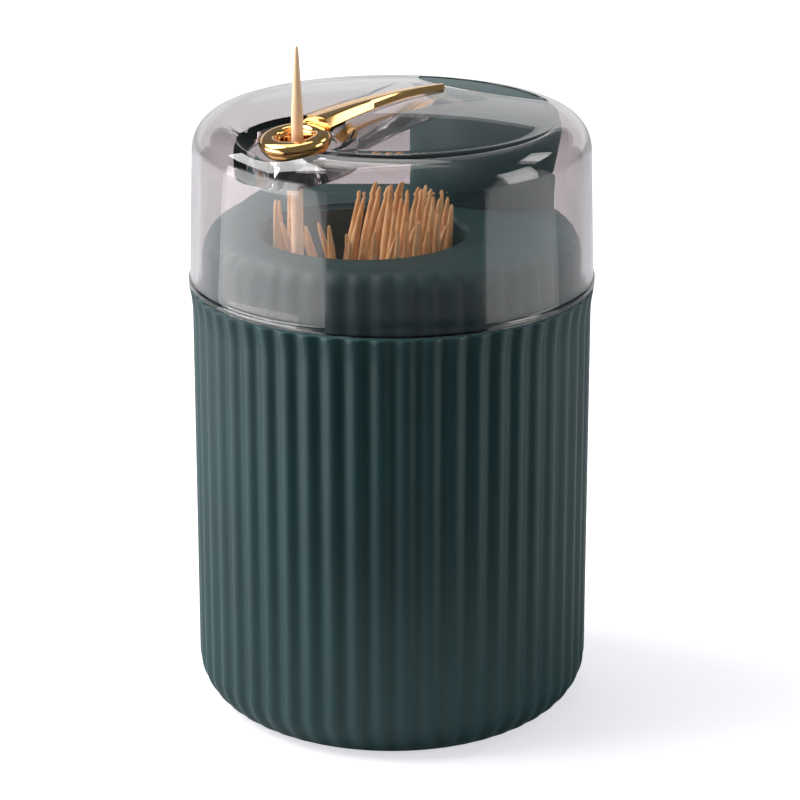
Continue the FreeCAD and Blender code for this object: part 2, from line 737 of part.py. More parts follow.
def web(name, way, start, end, start_half, end_half):
    """Recess in one side of an arm, between its ribs."""
    inner = half_lever - S.web_recess
    sketch = free_sketch(f"{name}_side", "YZ")
    outline(sketch, [(start, -start_half), (end, -end_half), (end, end_half), (start, start_half)])
    locate(sketch, x=way * inner)
    recess = doc.addObject("Part::Extrusion", name)
    recess.Base = sketch
    recess.DirMode = "Custom"
    recess.Dir = (way, 0, 0)
    recess.Solid = True
    bind(recess, "LengthFwd", S.web_recess + S.overrun)
    return recess


web_start = S.hub_radius + S.arm_rib
webs = []
for side, way in (("left", -1), ("right", 1)):
    webs.append(web(f"long_web_{side}", way, -(long_arm - 2 * S.nose_radius), -web_start,
                    S.arm_end_half / 2, S.hub_radius - 2.4 * S.arm_rib))
    webs.append(web(f"short_web_{side}", way, web_start, S.short_arm - 2 * S.push_nose_radius,
                    S.hub_radius - 2.8 * S.arm_rib, S.arm_end_half))
lever_solid = fuse(
    "lever_solid", cut("lever_webbed", arms, *webs),
    cross_cylinder("lever_hub", S.hub_radius, S.hub_width / 2, 0, 0),
    cross_cylinder("long_nose", S.nose_radius, half_lever, -long_arm, 0),
    cross_cylinder("short_nose", S.push_nose_radius, half_lever, S.short_arm, 0),
)
lever = cut("rocker_lever", lever_solid, cross_cylinder(
    "pivot_hole", S.pivot_radius + S.running_gap, S.hub_width, 0, 0))
lever.Placement = FreeCAD.Placement(
    FreeCAD.Vector(), FreeCAD.Rotation(FreeCAD.Vector(1, 0, 0), TILT))
lever.setExpression("Placement.Rotation.Angle", tilt_text)
locate(lever, y=pivot_offset, z=S.pivot_height)
node(lever, "rocker_lever")


# Lever bracket: a base with two rounded cheeks and two screw bosses, on the base plate
cheek_inner = S.hub_width / 2 + S.cheek_gap
cheek_outer = cheek_inner + S.cheek_thickness
half_bracket = S.bracket_depth / 2
plate_top = S.plate_thickness
foot_plate = block(
    "bracket_foot", (-S.bracket_reach, pivot_offset - half_bracket, plate_top),
    (S.bracket_reach, pivot_offset + half_bracket, plate_top + S.bracket_base))
bracket_parts, bracket_holes = [foot_plate], []
for side, way in (("left", -1), ("right", 1)):
    low_x, high_x = (-cheek_outer, -cheek_inner) if way < 0 else (cheek_inner, cheek_outer)
    middle = way * (cheek_inner + S.cheek_thickness / 2)
    bracket_parts.append(block(
        f"cheek_{side}", (low_x, pivot_offset - S.cheek_radius, plate_top),
        (high_x, pivot_offset + S.cheek_radius, S.pivot_height)))
    bracket_parts.append(cross_cylinder(
        f"cheek_top_{side}", S.cheek_radius, S.cheek_thickness / 2, pivot_offset,
        S.pivot_height, middle))
    bracket_parts.append(cylinder(
        f"bracket_boss_{side}", half_bracket, plate_top, plate_top + S.bracket_boss_height,
        way * S.bracket_screw_reach, pivot_offset))
    bracket_holes.append(cylinder(
        f"bracket_pilot_{side}", S.screw_radius + S.screw_gap, 0,
        S.screw_length + S.screw_gap, way * S.bracket_screw_reach, pivot_offset))
bracket_holes.append(cross_cylinder(
    "bracket_bore", S.pivot_radius + S.running_gap, cheek_outer + S.overrun, pivot_offset,
    S.pivot_height))
node(cut("lever_bracket", fuse("bracket_blank", *bracket_parts), *bracket_holes),
     "lever_bracket")


# Pivot axle with a groove at each end, and the clips that sit in the grooves
clip_start = cheek_outer + S.seat_clearance
axle_half = clip_start + 3 * S.clip_thickness
groove_radius = S.pivot_radius - S.clip_groove
axle = cross_cylinder("axle_bar", S.pivot_radius, axle_half, pivot_offset, S.pivot_height)
groove_rings, clips = [], []
for side, way in (("left", -1), ("right", 1)):
    groove_middle = way * (clip_start + S.clip_thickness / 2)
    groove_rings.append(cut(
        f"groove_{side}",
        cross_cylinder(f"groove_out_{side}", S.pivot_radius + S.overrun,
                       S.clip_thickness / 2 + S.running_gap, pivot_offset, S.pivot_height,
                       groove_middle),
        cross_cylinder(f"groove_core_{side}", groove_radius, S.clip_thickness + S.running_gap,
                       pivot_offset, S.pivot_height, groove_middle)))
    clip_disc = cross_cylinder(f"clip_disc_{side}", S.clip_radius, S.clip_thickness / 2,
                               pivot_offset, S.pivot_height, groove_middle)
    clip_bore = cross_cylinder(f"clip_bore_{side}", groove_radius + S.running_gap,
                               S.clip_thickness, pivot_offset, S.pivot_height, groove_middle)
    clip_mouth = block(
        f"clip_mouth_{side}",
        (groove_middle - S.clip_thickness, pivot_offset - groove_radius, S.pivot_height),
        (groove_middle + S.clip_thickness, pivot_offset + groove_radius,
         S.pivot_height + S.clip_radius + S.overrun))
    clips.append(cut(f"clip_{side}", clip_disc, clip_bore, clip_mouth))
node(cut("lever_axle", axle, *groove_rings), "lever_axle")
node(group("axle_clips", clips), "axle_clips")


# Ejector: a cross bar with two sleeves that slide on steel guide rods, and the pin
nose_low = S.pivot_height - half_lift
foot_low = nose_low + S.nose_radius + S.contact_gap
foot_high = foot_low + S.foot_thickness
boss_top = S.plate_thickness + S.guide_boss_height
sleeve_low = boss_top + 2 * S.contact_gap
half_foot = S.foot_depth / 2
bar = block("carriage_bar", (-S.guide_spread, -pick_offset - half_foot, foot_low),
            (S.guide_spread, half_foot - pick_offset, foot_high))
carriage_parts, carriage_holes, rods = [bar], [], []
for side, way in (("left", -1), ("right", 1)):
    carriage_parts.append(cylinder(
        f"carriage_sleeve_{side}", S.guide_sleeve_radius + S.contact_gap, sleeve_low, foot_high,
        way * S.guide_spread, -pick_offset))
    carriage_holes.append(cylinder(
        f"carriage_bore_{side}", S.guide_radius + S.running_gap, sleeve_low - S.overrun,
        foot_high + S.overrun, way * S.guide_spread, -pick_offset))
    rods.append(cylinder(
        f"guide_rod_{side}", S.guide_radius, S.guide_seat,
        hopper_base + S.guide_socket - S.seat_clearance,
        way * S.guide_spread, -pick_offset))
carriage_holes.append(cylinder(
    "carriage_pin_hole", S.ejector_radius, foot_low + S.foot_thickness / 4,
    foot_high + S.overrun, 0, -pick_offset))
node(cut("ejector_carriage", fuse("carriage_blank", *carriage_parts), *carriage_holes),
     "ejector_carriage")
node(group("guide_rods", rods), "guide_rods")
node(cylinder("ejector_pin", S.ejector_radius, foot_low + S.foot_thickness / 4,
              floor_front - S.seat_clearance, 0, -pick_offset), "ejector_pin")


# Press button: a half-moon cap under the same dome as the lid, with a skirt and a rod socket
def moon(name, grow, low, high):
    """Half-moon prism: a small arc towards the well, a large arc along the lid's shoulder."""
    inner_arc = S.button_arc + grow
    outer_arc = button_outer + grow
    centre = button_arc_centre
    tip_y = (centre * centre + outer_arc * outer_arc - inner_arc * inner_arc) / (2 * centre)
    tip_x = root_of(outer_arc * outer_arc - tip_y * tip_y)
    return prism(name, [
        (tip_x, tip_y), (0, outer_arc), (-tip_x, tip_y), (0, centre - inner_arc),
    ], {0: outer_arc, 1: outer_arc, 2: inner_arc, 3: inner_arc}, low, high)


dome_round = (dome_edge_radius * dome_edge_radius + S.dome_rise * S.dome_rise) / (2 * S.dome_rise)


def dome_outline(step):
    """Profile of the lid's shoulder and dome, a step inside the outer surface."""
    shoulder = (lid_top_radius - step, lid_shoulder)
    edge = (dome_edge_radius, dome_edge - step)
    crown = (0, dome_top - step)
    return [shoulder, *rounded(shoulder, edge, S.lid_round - step, 3), edge,
            *rounded(edge, crown, dome_round - step, 2), (0, dome_top - step)]


def dome_form(name, low, step):
    """Solid under the dome and shoulder, a step inside the lid's outer surface."""
    return turned(name, [(0, low), (lid_top_radius - step, low), *dome_outline(step)])


button_top = common(
    "button_form", moon("button_moon", 0, button_skirt_low,
                        dome_top + S.overrun),
    dome_form("button_dome", button_skirt_low - S.overrun, 0))
socket = cylinder("rod_socket_tube", S.socket_radius + S.socket_wall,
                  button_ceiling - S.socket_depth, button_ceiling + S.overrun,
                  0, rod_offset)
button_hollow = moon("button_hollow", -S.button_wall, button_skirt_low - S.overrun,
                     button_ceiling)
socket_bore = cylinder("rod_socket_bore", S.socket_radius, button_skirt_low,
                       button_ceiling, 0, rod_offset)
node(cut("press_button", fuse("button_blank", cut("button_cap", button_top, button_hollow),
                              common("socket_in_cap", socket, button_top)), socket_bore),
     "press_button")


# Tower: the half-moon tube on the deck that the button's skirt slides in
node(cut(
    "button_tower",
    moon("tower_out", S.button_gap + S.tower_wall, deck_height, tower_top),
    moon("tower_in", S.button_gap, deck_height - S.overrun, tower_top + S.overrun),
), "button_tower")


# Push rod, with a stop collar under the deck's guide sleeve and a flat foot over the lever
rod_foot = S.pivot_height + S.stroke / 2 + S.push_nose_radius + S.contact_gap
sleeve_end = deck_under - S.sleeve_length
collar_top = sleeve_end - S.seat_clearance
rod_neck = button_ceiling - S.socket_depth
node(turned("push_rod", [
    (0, rod_foot), (S.rod_foot_radius, rod_foot),
    (S.rod_foot_radius, rod_foot + S.rod_foot_height),
    (S.rod_radius, rod_foot + 2 * S.rod_foot_height),
    (S.rod_radius, collar_top - S.collar_height), (S.collar_radius, collar_top - S.collar_height),
    (S.collar_radius, collar_top), (S.rod_radius, collar_top),
    (S.rod_radius, rod_neck - S.seat_clearance), (S.socket_radius, rod_neck - S.seat_clearance),
    (S.socket_radius, button_ceiling - S.seat_clearance),
    (0, button_ceiling - S.seat_clearance),
], None, 0, rod_offset), "push_rod")


# Smoked lid: a tapered wall, a rounded shoulder and a shallow dome, with a spoon-shaped
# thickening under the dome that carries the ring, and the half-moon opening of the button
lid_outer = turned("lid_outer", [
    (0, lid_low), (S.rim_radius, lid_low), (S.rim_radius, lid_low + S.bead_height),
    (lid_low_radius, lid_low + S.bead_height + S.bead_step),
    *dome_outline(0),
])
lid_void = turned("lid_void", [
    (0, lid_low - S.overrun), (lid_low_radius - S.lid_wall, lid_low - S.overrun),
    (lid_low_radius - S.lid_wall, lid_low), *dome_outline(S.lid_wall),
])

spoon_plan = fuse(
    "spoon_plan",
    cylinder("spoon_bowl", S.boss_radius, boss_height - S.overrun, dome_top, 0,
             -pick_offset),
    prism("spoon_tail", [
        (-S.boss_waist, -boss_waist_offset), (S.boss_waist, -boss_waist_offset),
        (S.boss_end, boss_end_offset), (-S.boss_end, boss_end_offset),
    ], {1: -S.boss_curve, 3: -S.boss_curve}, boss_height - S.overrun, dome_top),
)
slope_start = -lid_top_radius
slope_low = boss_height + S.boss_slope_share * (slope_start + pick_offset)
slope_high = boss_height + S.boss_slope_share * (boss_end_offset + pick_offset)
spoon = common("spoon", spoon_plan, side_prism("spoon_slope", [
    (slope_start, slope_low), (boss_end_offset, slope_high),
    (boss_end_offset, dome_top + S.overrun), (slope_start, dome_top + S.overrun),
], None, lid_top_radius))


def on_ring(thing):
    """Tilts a piece drawn about the vertical axis and sets it at the ring's top centre."""
    thing.Placement = FreeCAD.Placement(
        FreeCAD.Vector(), FreeCAD.Rotation(FreeCAD.Vector(1, 0, 0), S.ring_tilt.value))
    thing.setExpression("Placement.Rotation.Angle", S.ring_tilt.text)
    locate(thing, y=-ring_offset, z=ring_top)
    return thing


ring_seat = on_ring(turned("ring_seat", [
    (0, -S.ring_height), (S.ring_radius + S.seat_gap, -S.ring_height),
    (S.ring_radius + S.seat_gap, S.overrun), (0, S.overrun),
]))
bush_bore = cylinder("bush_bore", S.bush_radius, bush_low - S.overrun, ring_top,
                     0, -pick_offset)
button_opening = moon("button_opening", S.button_gap, button_skirt_low,
                      dome_top + S.overrun)
lid_shell = fuse("lid_shell", cut("lid_hollowed", lid_outer, lid_void),
                 common("spoon_under_dome", spoon, dome_form("spoon_dome", lid_low, S.lid_wall / 2)))
node(cut("smoke_lid", lid_shell, ring_seat, bush_bore, button_opening), "smoke_lid")
node(cut("grip_bush",
         cylinder("bush_body", S.bush_radius, bush_low, bush_high, 0, -pick_offset),
         cylinder("bush_hole", S.pick_radius + S.running_gap, bush_low - S.overrun,
                  bush_high + S.overrun, 0, -pick_offset)), "grip_bush")


# Gold trim: a tilted ring with a four-lobed hole, and a tapering arm that follows the dome
ring_waist = (S.ring_radius, -S.ring_height / 2)
ring_foot = (S.ring_foot_radius, -S.ring_height)
ring_rim = (S.ring_radius - S.ring_edge, 0)
ring_side = root_of(S.ring_edge * S.ring_edge + S.ring_height * S.ring_height / 4)
ring_blank = turned("ring_blank", [
    (0, -S.ring_height), ring_foot, *rounded(ring_foot, ring_waist, ring_side, 2), ring_waist,
    *rounded(ring_waist, ring_rim, ring_side, 3), ring_rim, (S.ring_mouth, 0),
    (S.ring_throat, -S.ring_mouth_depth), (S.ring_throat, -S.petal_web), (0, -S.petal_web),
])
lobes = [cylinder("ring_hole", S.petal_hole, -S.ring_height - S.overrun, S.overrun)]
for lobe, way_x, way_y in around(4, start=DIAGONAL):
    lobes.append(cylinder(f"ring_lobe_{lobe}", S.petal_radius, -S.ring_height - S.overrun,
                          S.overrun, way_x * S.petal_circle, way_y * S.petal_circle))
ring = on_ring(cut("ring", ring_blank, *lobes))

arm_stations = []
for share in (0.0, 0.25, 0.5, 0.75, 1.0):
    station = (arm_start + arm_end) * share - arm_start
    dome_here = dome_top - dome_round + root_of(dome_round * dome_round - station * station)
    arm_top = dome_here + S.arm_height + (S.arm_tip_height - S.arm_height) * share
    arm_base = dome_here - S.overrun
    half_base = S.arm_root + (S.arm_tip - S.arm_root) * share
    half_top = S.arm_top_root + (S.arm_top_tip - S.arm_top_root) * share
    section = free_sketch(f"arm_section_{len(arm_stations)}", "XZ")
    outline(section, [
        (-half_base, arm_base), (half_base, arm_base), (half_base, dome_here),
        (half_top, arm_top), (-half_top, arm_top), (-half_base, dome_here),
    ])
    locate(section, y=station)
    arm_stations.append(section)
arm_loft = doc.addObject("Part::Loft", "arm_loft")
arm_loft.Sections = arm_stations
arm_loft.Solid = True
arm = cut("arm", arm_loft, dome_form("arm_dome", lid_low, 0))
node(fuse("gold_trim", ring, cut("arm_outside_hole", arm, on_ring(cylinder(
    "arm_clear", S.ring_throat + S.running_gap, -S.ring_height, S.ring_height)))), "gold_trim")


# Toothpicks: one raised in the ring, and the supply that stands in the hopper. The supply lies
# in upright layers, each a fan in which no toothpick crosses its neighbour.
SPRING_FACETS = 12
SPRING_SIDES = 6
RAISED_PICK_SIDES = 16
SUPPLY_PICK_SIDES = 6
LAYER_TURN = 41.0
LAYER_SHARES = [
    # layer, foot of the first and last toothpick, tip of the first and last, how many
    (6, -0.46, -0.15, 0.16, 0.46, 3), (5, -0.65, -0.10, 0.00, 0.65, 4),
    (4, -0.78, -0.19, 0.06, 0.79, 4), (3, -0.66, -0.66, -0.82, -0.82, 1),
    (3, -0.02, 0.47, 0.31, 0.88, 4), (2, -0.77, -0.62, -0.93, -0.77, 2),
    (2, 0.03, 0.41, 0.44, 0.85, 3), (1, -0.80, -0.63, -0.96, -0.79, 2),
    (1, 0.05, 0.50, 0.50, 0.93, 3), (0, -0.65, -0.65, -0.80, -0.80, 1),
    (0, 0.02, 0.60, 0.36, 0.97, 4), (-1, -0.84, -0.31, 0.47, 0.97, 4),
    (-2, 0.25, 0.63, -0.94, -0.57, 3), (-3, 0.13, 0.31, -0.85, -0.68, 2),
    (-3, 0.50, 0.66, 0.60, 0.79, 2), (-4, -0.06, 0.13, -0.38, -0.21, 2),
    (-4, 0.31, 0.50, 0.47, 0.69, 2), (-5, -0.19, 0.38, -0.33, 0.58, 3),
    (-6, -0.19, 0.19, -0.13, 0.38, 2),
]


def faceted_rod(rings):
    """Solid with flat sides through rings of corners, closed at both ends."""
    faces = [Part.Face(Part.makePolygon(ring + ring[:1])) for ring in (rings[0], rings[-1])]
    for lower, upper in zip(rings, rings[1:]):
        for corner, point in enumerate(lower):
            around_side = [point, lower[corner - 1], upper[corner - 1], upper[corner], point]
            faces.append(Part.Face(Part.makePolygon(around_side)))
    solid = Part.makeSolid(Part.makeShell(faces))
    if solid.Volume < 0:
        solid.reverse()
    return solid


def ring_of_corners(radius, height, corners=SPRING_SIDES):
    return [FreeCAD.Vector(radius * x, radius * y, height) for step, x, y in around(corners)]


def toothpick_blank(corners, tip, radius, taper, length):
    """Round toothpick on its foot at the origin, with a taper at both ends."""
    return faceted_rod([
        ring_of_corners(tip, 0, corners), ring_of_corners(radius, taper, corners),
        ring_of_corners(radius, length - taper, corners), ring_of_corners(tip, length, corners),
    ])


raised = doc.addObject("Part::Feature", "raised_toothpick")
raised.Shape = toothpick_blank(
    RAISED_PICK_SIDES, S.pick_tip.value, S.pick_radius.value, S.pick_taper.value,
    S.pick_length.value)
locate(raised, 0, -pick_offset, pick_low)
node(raised, "raised_toothpick")


def supply_shape():
    """Every toothpick of the hopper, each from its foot on the sloping floor to its tip.

    A narrower well holds fewer: a fan keeps as many as stand side by side along its shorter
    end, and a toothpick that would pass the wall is left out."""
    radius, tip = S.pick_radius.value, S.pick_tip.value
    length, taper = S.pick_length.value, S.pick_taper.value
    blank = toothpick_blank(SUPPLY_PICK_SIDES, tip, radius, taper, length)
    reach = (well_radius - S.pick_radius - S.supply_gap).value
    turn = math.radians(LAYER_TURN)
    along = FreeCAD.Vector(math.cos(turn), math.sin(turn), 0)
    across = FreeCAD.Vector(-math.sin(turn), math.cos(turn), 0)
    solids = []
    pitch = pick_pitch.value
    for layer, foot_first, foot_last, tip_first, tip_last, count in LAYER_SHARES:
        aside = layer * pitch
        shorter_end = reach * min(foot_last - foot_first, tip_last - tip_first)
        count = min(count, 1 + int(shorter_end / pitch))
        for number in range(count):
            share = number / max(count - 1, 1)
            foot_along = reach * (foot_first + (foot_last - foot_first) * share)
            tip_along = reach * (tip_first + (tip_last - tip_first) * share)
            if max(math.hypot(aside, foot_along), math.hypot(aside, tip_along)) > reach:
                continue
            foot = across * aside + along * foot_along
            foot.y -= well_offset.value
            climb = foot.y + (well_offset + well_radius).value
            foot.z = (floor_front + S.supply_gap + floor_slope * climb).value
            lean = tip_along - foot_along
            way = along * lean + FreeCAD.Vector(0, 0, math.sqrt(length * length - lean * lean))
            solid = blank.copy()
            solid.Placement = FreeCAD.Placement(
                foot, FreeCAD.Rotation(FreeCAD.Vector(0, 0, 1), way))
            solids.append(solid)
    return Part.Compound(solids)


supply = doc.addObject("Part::Feature", "toothpick_supply")
supply.Shape = supply_shape()
node(supply, "toothpick_supply")


# Return spring: a wound wire round the push rod, between the deck and the button
def wound_wire():
    """Spring wire as one unbroken tube; prints the least gap between its turns."""
    radius, wire = S.spring_radius.value, S.wire_radius.value
    low = (deck_height + S.seat_clearance).value + 2 * wire
    high = (button_ceiling - S.seat_clearance).value - 2 * wire
    turns = int(S.spring_turns.value)
    steps = SPRING_FACETS * turns
    spots = []
    for step, (way, way_x, way_y) in enumerate(list(around(SPRING_FACETS)) * turns):
        spots.append(FreeCAD.Vector(
            radius * way_x, radius * way_y + rod_offset.value,
            low + (high - low) * step / (steps - 1)))
    ways = [(later - early).normalize() for early, later in zip(spots, spots[1:])]
    side = FreeCAD.Vector(0, 0, 1).cross(ways[0]).normalize()
    turn = FreeCAD.Rotation(side, ways[0].cross(side), ways[0], "XZY")
    rings = [[spots[0] + turn.multVec(corner) for corner in ring_of_corners(wire, 0)]]
    for index, way in enumerate(ways):
        mitre = way if index + 1 == len(ways) else (way + ways[index + 1]).normalize()
        rings.append([
            corner + way * ((spots[index + 1] - corner).dot(mitre) / way.dot(mitre))
            for corner in rings[-1]])
    gap = min((late - early).Length for index, early in enumerate(spots)
              for late in spots[index + SPRING_FACETS // 2:]) - 2 * wire
    print(f"return_spring: least gap between turns {gap:.2f} mm")
    return faceted_rod(rings)


spring = doc.addObject("Part::Feature", "return_spring")
spring.Shape = wound_wire()
node(spring, "return_spring")


# Every object is sound, and each node is written
doc.recompute()
for thing in doc.Objects:
    if "Invalid" in thing.State or "Error" in thing.State:
        raise RuntimeError(f"{thing.Label} does not build: {thing.State}")
for solid in NODES:
    if solid.Shape.isNull() or not solid.Shape.isValid():
        raise RuntimeError(f"{solid.Label} has no sound shape")
    solid.Shape.exportStep(f"parts/{solid.Label}.step")
    box = solid.Shape.BoundBox
    print(f"{solid.Label}: {len(solid.Shape.Solids)} solids, "
          f"z {box.ZMin:.2f} to {box.ZMax:.2f}, {solid.Shape.Volume:.0f} mm3")
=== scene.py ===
# %% [markdown]
# # Toothpick dispenser
# A fluted cup of dark blue-green plastic holds toothpicks under a smoked, clear lid. A half-moon
# button at the back of the lid lifts one toothpick through a gold-coloured ring. The CAD model
# gives every place and size. This script dresses it: smooth skins for what shows, real
# refraction for the lid, and one studio for the light.

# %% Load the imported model
import json
import math

import bmesh
import bpy
from mathutils import Matrix, Vector


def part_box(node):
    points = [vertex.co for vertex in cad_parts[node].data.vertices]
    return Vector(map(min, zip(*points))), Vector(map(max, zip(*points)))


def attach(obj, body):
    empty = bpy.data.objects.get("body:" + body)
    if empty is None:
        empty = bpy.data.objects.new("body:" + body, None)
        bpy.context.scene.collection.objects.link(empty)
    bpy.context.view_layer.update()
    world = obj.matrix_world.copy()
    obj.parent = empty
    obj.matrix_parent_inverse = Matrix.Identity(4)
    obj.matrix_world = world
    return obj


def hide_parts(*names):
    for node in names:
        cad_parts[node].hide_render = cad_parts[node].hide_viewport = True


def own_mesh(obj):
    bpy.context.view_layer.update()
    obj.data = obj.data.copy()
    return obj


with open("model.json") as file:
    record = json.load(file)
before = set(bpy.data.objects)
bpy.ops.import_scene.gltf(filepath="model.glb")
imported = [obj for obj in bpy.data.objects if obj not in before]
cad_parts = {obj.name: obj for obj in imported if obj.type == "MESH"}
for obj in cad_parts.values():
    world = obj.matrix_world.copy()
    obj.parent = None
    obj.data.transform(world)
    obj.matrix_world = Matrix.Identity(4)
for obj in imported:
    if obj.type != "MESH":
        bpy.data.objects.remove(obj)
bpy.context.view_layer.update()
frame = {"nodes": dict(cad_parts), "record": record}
MM = 0.001
print("CAD nodes:", ", ".join(sorted(frame["nodes"])))

# %% [markdown]
# ## Nodes as sums
# A shader is easier to read as a sum than as a web of boxes. `Socket` wraps one output, and the
# usual signs add Math nodes. `Graph.node` makes any other node from its type, its settings and
# its sockets.

# %% A small language for node trees
class Socket:
    """One output of a node; the signs of arithmetic add Math nodes."""

    def __init__(self, graph, socket):
        self.graph = graph
        self.socket = socket

    def math(self, operation, *others):
        values = dict(enumerate((self, *others)))
        return self.graph.node("ShaderNodeMath", {"operation": operation}, values)

    def __add__(self, other):
        return self.math("ADD", other)

    __radd__ = __add__

    def __mul__(self, other):
        return self.math("MULTIPLY", other)

    __rmul__ = __mul__

    def __rsub__(self, other):
        return self.graph.node("ShaderNodeMath", {"operation": "SUBTRACT"}, {0: other, 1: self})

    def __pow__(self, other):
        return self.math("POWER", other)

    def between(self, low, high):
        """0 below low, 1 above high and smooth between."""
        return self.graph.node("ShaderNodeMapRange", {"interpolation_type": "SMOOTHSTEP"}, {
            "Value": self, "From Min": low, "From Max": high})


class Graph:
    """A node tree that is written as expressions."""

    def __init__(self, tree):
        self.tree = tree
        tree.nodes.clear()

    def node(self, kind, settings=None, sockets=None, output=0):
        """A new node: its settings first, then the values or links of its sockets."""
        made = self.tree.nodes.new(kind)
        for name, value in (settings or {}).items():
            setattr(made, name, value)
        for key, value in (sockets or {}).items():
            if isinstance(value, Socket):
                self.tree.links.new(value.socket, made.inputs[key])
            else:
                made.inputs[key].default_value = value
        return None if output is None else Socket(self, made.outputs[output])


def colour(red, green, blue):
    """A colour as the eye's 0 to 255 values, turned into light values."""
    def light(value):
        value /= 255
        return value / 12.92 if value <= 0.04045 else ((value + 0.055) / 1.055) ** 2.4
    return (light(red), light(green), light(blue), 1.0)


print("Helpers for node trees are ready")

# %% [markdown]
# ## The camera
# The picture was taken from a little above, at the front left of the ring. A long lens stands
# half a metre away, so upright lines stay nearly parallel and the foot looks a little narrower.

# %% Camera
CAMERA_PLACE = Vector((323.5, -370.0, 223.3)) * MM
CAMERA_TARGET = Vector((1.061, 0.922, 53.62)) * MM
LENS_MM = 133.5
SENSOR_MM = 36

camera_data = bpy.data.cameras.new("camera")
camera_data.lens = LENS_MM
camera_data.sensor_width = SENSOR_MM
camera_data.clip_start = 10 * MM
camera = bpy.data.objects.new("camera", camera_data)
camera.location = CAMERA_PLACE
camera.rotation_euler = (CAMERA_TARGET - CAMERA_PLACE).to_track_quat("-Z", "Y").to_euler()
bpy.context.scene.collection.objects.link(camera)
bpy.context.scene.camera = camera
TO_CAMERA = (CAMERA_PLACE - CAMERA_TARGET).to_2d().normalized()
print(f"Camera {(CAMERA_PLACE - CAMERA_TARGET).length:.3f} m from its target")

# %% [markdown]
# ## Materials
# Each finish is a short function. What varies comes from noise on Object coordinates, at the
# scale of the real grain, and feeds only colour, roughness and bump.

# %% A start for every material
def new_material(name):
    material = bpy.data.materials.new(name)
    material.use_nodes = True
    return material, Graph(material.node_tree)


def object_noise(graph, scale, detail=3.0, stretch=(1, 1, 1)):
    place = graph.node("ShaderNodeTexCoord", output="Object")
    place = graph.node("ShaderNodeMapping", {}, {"Vector": place, "Scale": stretch})
    return graph.node("ShaderNodeTexNoise", {}, {
        "Vector": place, "Scale": scale, "Detail": detail, "Roughness": 0.55})


def bump(graph, height, strength, depth):
    return graph.node("ShaderNodeBump", {}, {
        "Height": height, "Strength": strength, "Distance": depth})


def mixed(graph, share, first, second):
    """First colour where share is 0, second where it is 1."""
    return graph.node("ShaderNodeMix", {"data_type": "RGBA"}, {
        "Factor": share, 6: first, 7: second}, output=2)


def seen_directly(graph):
    """1 on a ray that has met nothing but clear plastic on its way from the camera."""
    soft = graph.node("ShaderNodeLightPath", output="Diffuse Depth")
    shiny = graph.node("ShaderNodeLightPath", output="Glossy Depth")
    return 1.0 - (soft + shiny)


def finish(graph, sockets):
    shader = graph.node("ShaderNodeBsdfPrincipled", {}, sockets)
    graph.node("ShaderNodeOutputMaterial", {}, {"Surface": shader}, output=None)


print("Material helpers are ready")

# %% Moulded blue-green plastic
def green_plastic():
    """Satin moulding with a fine spark-eroded grain."""
    material, graph = new_material("green_plastic")
    cloud = object_noise(graph, 40, 2)
    grain = object_noise(graph, 5200, 4)
    shade = mixed(graph, cloud.between(0.3, 0.7), colour(17, 49, 51), colour(21, 55, 56))
    finish(graph, {
        "Base Color": shade,
        "Roughness": 0.40 + 0.10 * grain,
        "Specular IOR Level": 0.4,
        "Normal": bump(graph, grain, 0.18, 0.03 * MM),
    })
    return material


GREEN = green_plastic()
print("Made", GREEN.name)

# %% Smoked clear plastic
def smoked_plastic():
    """Clear styrene with a grey-violet smoke tint, polished, with a very slight waviness."""
    material, graph = new_material("smoked_plastic")
    wave = object_noise(graph, 55, 1)
    tint = mixed(graph, wave, colour(203, 196, 196), colour(207, 200, 200))
    finish(graph, {
        "Base Color": tint,
        "Roughness": 0.015,
        "IOR": 1.53,
        "Transmission Weight": 1.0,
        "Normal": bump(graph, wave, 0.05, 0.2 * MM),
    })
    return material


SMOKE = smoked_plastic()
print("Made", SMOKE.name)

# %% Gold-coloured metal
def gold_metal():
    """Plated trim: bright, warm, with fine polishing marks."""
    material, graph = new_material("gold_metal")
    marks = object_noise(graph, 900, 3, (1, 1, 6))
    warm = mixed(graph, marks.between(0.35, 0.65), colour(232, 178, 112), colour(240, 188, 124))
    finish(graph, {
        "Base Color": warm,
        "Metallic": 1.0,
        "Roughness": 0.07 + 0.06 * marks,
        "Normal": bump(graph, marks, 0.04, 0.02 * MM),
    })
    return material


GOLD = gold_metal()
print("Made", GOLD.name)

# %% Birch
def birch(name, pale, deep):
    """Turned birch: long fibres, so the noise is drawn out along the toothpicks."""
    material, graph = new_material(name)
    fibre = object_noise(graph, 2600, 5, (1, 1, 0.035))
    cloud = object_noise(graph, 160, 2)
    share = (0.65 * fibre + 0.35 * cloud).between(0.32, 0.68)
    finish(graph, {
        "Base Color": mixed(graph, share, deep, pale),
        "Roughness": 0.55 + 0.2 * fibre,
        "Normal": bump(graph, fibre, 0.35, 0.05 * MM),
    })
    return material


BIRCH = birch("birch", colour(244, 206, 168), colour(232, 188, 146))
# The supply's copy of the same birch: its warm tone is the wood's own, but its deep colour is
# darker than the raised toothpick's, as painted shade between the toothpicks in the well.
BIRCH_SHADED = birch("birch_painted_shade", colour(236, 198, 144), colour(200, 146, 90))
print("Made", BIRCH.name, BIRCH_SHADED.name)

# %% Plain finishes of the inside
def white_plastic():
    material, graph = new_material("white_plastic")
    grain = object_noise(graph, 1800, 3)
    finish(graph, {
        "Base Color": mixed(graph, grain, colour(214, 213, 206), colour(226, 225, 219)),
        "Roughness": 0.42 + 0.12 * grain,
        "Normal": bump(graph, grain, 0.12, 0.03 * MM),
    })
    return material


def steel(name, tone):
    material, graph = new_material(name)
    lines = object_noise(graph, 1400, 4, (1, 1, 0.12))
    finish(graph, {
        "Base Color": mixed(graph, lines, tone, colour(214, 216, 220)),
        "Metallic": 1.0,
        "Roughness": 0.22 + 0.2 * lines,
        "Normal": bump(graph, lines, 0.1, 0.02 * MM),
    })
    return material


